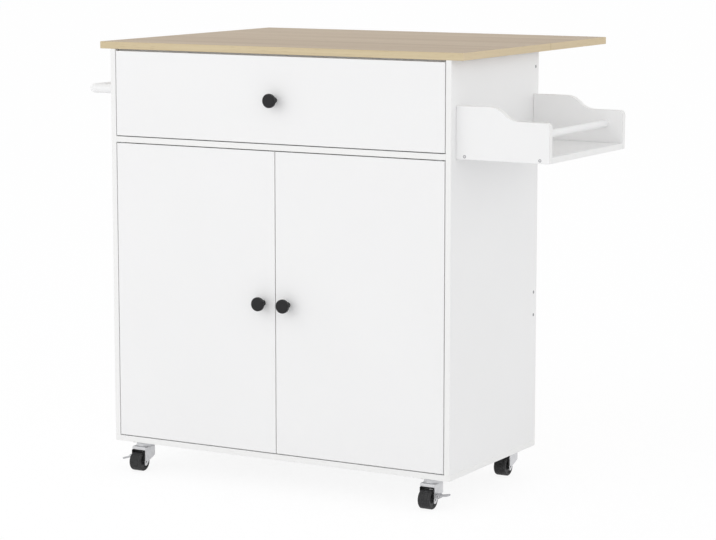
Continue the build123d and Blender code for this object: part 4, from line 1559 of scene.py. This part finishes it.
@dataclass
class Casters:
    """Four casters on their plates under the bottom board."""

    wheel_columns: tuple[float, float] = (53.7, 754.3)
    swivels: tuple[float, float] = (32.0, 375.4)
    plate: float = 40.0
    plate_thickness: float = 2.5
    plate_corner: float = 4.0
    plate_round: float = 0.4
    hole_pitch: float = 31.5
    crown: float = 13.4
    pin_radius: float = 4.0
    pin_root: float = 2.0
    pin_head: float = 6.5
    pin_chamfer: float = 1.0
    screw: Fastener = Fastener(head_height=1.7, dome=0.3, length=13.0)

    def make(self) -> None:
        """Make the casters, their plates and screws."""
        spots = []
        for row, y in zip(("front", "rear"), self.swivels):
            for column, side, x in zip(("left", "right"), (-1, 1), self.wheel_columns):
                spots.append((x, y))
                Caster(row + "_" + column, x, y, side, pressed=side < 0).make()
        plates = Shape()
        for x, y in spots:
            plates.beside(self.plate_shape().moved(x, y, 0.0))
        hand_over(plates.piece("caster_plate_set", ZINC), "root", "zinc_steel", "caster_plates")
        half, top = self.hole_pitch / 2, -self.plate_thickness - self.screw.head_height
        places = [((x + i * half, y + j * half, top), (0.0, 0.0, -1.0))
                  for x, y in spots for i in (-1, 1) for j in (-1, 1)]
        shape = FastenerField(self.screw, seed=7).shape(places, ZINC)
        hand_over(shape.piece("caster_screw_heads", ZINC), "root", "zinc_steel", "caster_screws")

    def plate_shape(self) -> Shape:
        """One plate with its king pin.

        Returns:
            The plate round the swivel axis.
        """
        corner, thick = self.plate_corner, self.plate_thickness
        inner = self.plate / 2 - corner
        outline: list[Point] = []
        for turn, (x, y) in enumerate(((1, 1), (-1, 1), (-1, -1), (1, -1))):
            outline += arc((x * inner, y * inner), corner, 90 * turn, 90 * (turn + 1), 6)
        plate = Shape.prism(outline, thick).moved(0, 0, -thick).rounded(self.plate_round, 2)
        pin, head, root = self.pin_radius, self.pin_head, -self.pin_root
        low, cut = -self.crown - thick, self.pin_chamfer
        return plate.beside(Shape.lathe([(0.0, root), (pin, root), (pin, -self.crown),
                                         (head, -self.crown), (head, low + cut),
                                         (head - cut, low), (0.0, low)], 32))


@dataclass
class Studio:
    """Pale floor, soft light and the camera."""

    horizon: float = 1.32
    zenith: float = 0.6
    floor_tone: Rgb = (243, 243, 244)
    floor_fade: float = 0.85
    floor_white: float = 1.035
    floor_size: float = 60.0
    key_place: Triple = (-1.9, -3.6, 2.7)
    key_power: float = 22.0
    key_size: float = 4.0
    key_aim: Triple = (0.0, 0.0, 0.45)
    camera_place: Triple = (2.57035, -4.6303, 1.2036)
    camera_pitch: float = -8.376
    camera_yaw: float = 29.502
    camera_lens: float = 124.883
    camera_sensor: float = 36.0
    camera_clip: float = 100.0

    def make(self) -> None:
        """Set the studio up."""
        scene = bpy.context.scene
        scene.view_settings.view_transform = "Standard"
        self.light_world(scene)
        self.lay_floor()
        self.hang_key()
        self.set_camera(scene)

    @staticmethod
    def seen(graph: Graph) -> bpy.types.NodeSocket:
        """Pick out the rays that show the background itself: camera, mirror and glass rays.

        Args:
            graph: the tree that needs them.

        Returns:
            1 for such a ray, and 0 for any other.
        """
        rays = graph.add("ShaderNodeLightPath").outputs
        shown = graph.math("MAXIMUM", rays["Is Camera Ray"], rays["Is Glossy Ray"])
        return graph.math("MAXIMUM", shown, rays["Is Transmission Ray"])

    def light_world(self, scene: bpy.types.Scene) -> None:
        """Make a white background whose light comes more from the sides than from above.

        Args:
            scene: the scene.
        """
        scene.world = bpy.data.worlds.new("studio")
        scene.world.use_nodes = True
        graph = Graph(scene.world.node_tree)
        way = graph.add("ShaderNodeTexCoord").outputs["Generated"]
        height = graph.add("ShaderNodeSeparateXYZ", {"Vector": way}).outputs["Z"]
        level = graph.spread(height, self.horizon, self.zenith, start=0.0, end=1.0)
        dim = graph.add("ShaderNodeBackground", {"Color": WHITE, "Strength": level})
        full = graph.add("ShaderNodeBackground", {"Color": WHITE, "Strength": 1.0})
        mixed = graph.add("ShaderNodeMixShader", {0: self.seen(graph), 1: dim, 2: full})
        graph.add("ShaderNodeOutputWorld", {"Surface": mixed})

    def lay_floor(self) -> None:
        """A wide floor that keeps the cart's shadow."""
        half = self.floor_size / 2
        mesh = bpy.data.meshes.new("studio_floor")
        corners = [(-half, -half, 0.0), (half, -half, 0.0), (half, half, 0.0), (-half, half, 0.0)]
        mesh.from_pydata(corners, [], [(0, 1, 2, 3)])
        paper = bpy.data.materials.new("studio_paper")
        paper.use_nodes = True
        graph = Graph(paper.node_tree)
        cloth = graph.add("ShaderNodeBsdfDiffuse", {"Color": linear(*self.floor_tone)})
        fade = graph.math("MULTIPLY", self.seen(graph), self.floor_fade)
        white = graph.add("ShaderNodeEmission", {"Color": WHITE, "Strength": self.floor_white})
        total = graph.add("ShaderNodeMixShader", {0: fade, 1: cloth, 2: white})
        graph.add("ShaderNodeOutputMaterial", {"Surface": total})
        mesh.materials.append(paper)
        linked("studio_floor", mesh)

    def hang_key(self) -> None:
        """One large soft lamp above, left of the front."""
        lamp = bpy.data.lights.new("key", "AREA")
        lamp.energy = self.key_power
        lamp.size = self.key_size
        thing = bpy.data.objects.new("key", lamp)
        place = Vector(self.key_place)
        aim = (Vector(self.key_aim) - place).to_track_quat("-Z", "Y")
        thing.matrix_world = Matrix.Translation(place) @ aim.to_matrix().to_4x4()
        bpy.context.scene.collection.objects.link(thing)

    def set_camera(self, scene: bpy.types.Scene) -> None:
        """Look at the cart as the photograph does.

        Args:
            scene: the scene.
        """
        data = bpy.data.cameras.new("camera")
        data.sensor_width = self.camera_sensor
        data.lens = self.camera_lens
        data.clip_end = self.camera_clip
        camera = bpy.data.objects.new("camera", data)
        camera.location = self.camera_place
        camera.rotation_euler = (math.radians(90.0 + self.camera_pitch), 0.0,
                                 math.radians(self.camera_yaw))
        scene.collection.objects.link(camera)
        scene.camera = camera


def main() -> None:
    """Build the cart's looks, one sub-assembly after another."""
    logging.basicConfig(level=logging.INFO, format="%(name)s: %(message)s")
    for part in (Studio(), Carcass(), Worktop(), LeafFittings(), Drawer(), Doors(), SpiceRack(),
                 TowelBar(), Casters()):
        part.make()
        LOG.info("%s is ready", type(part).__name__)


if __name__ == "__main__":
    main()
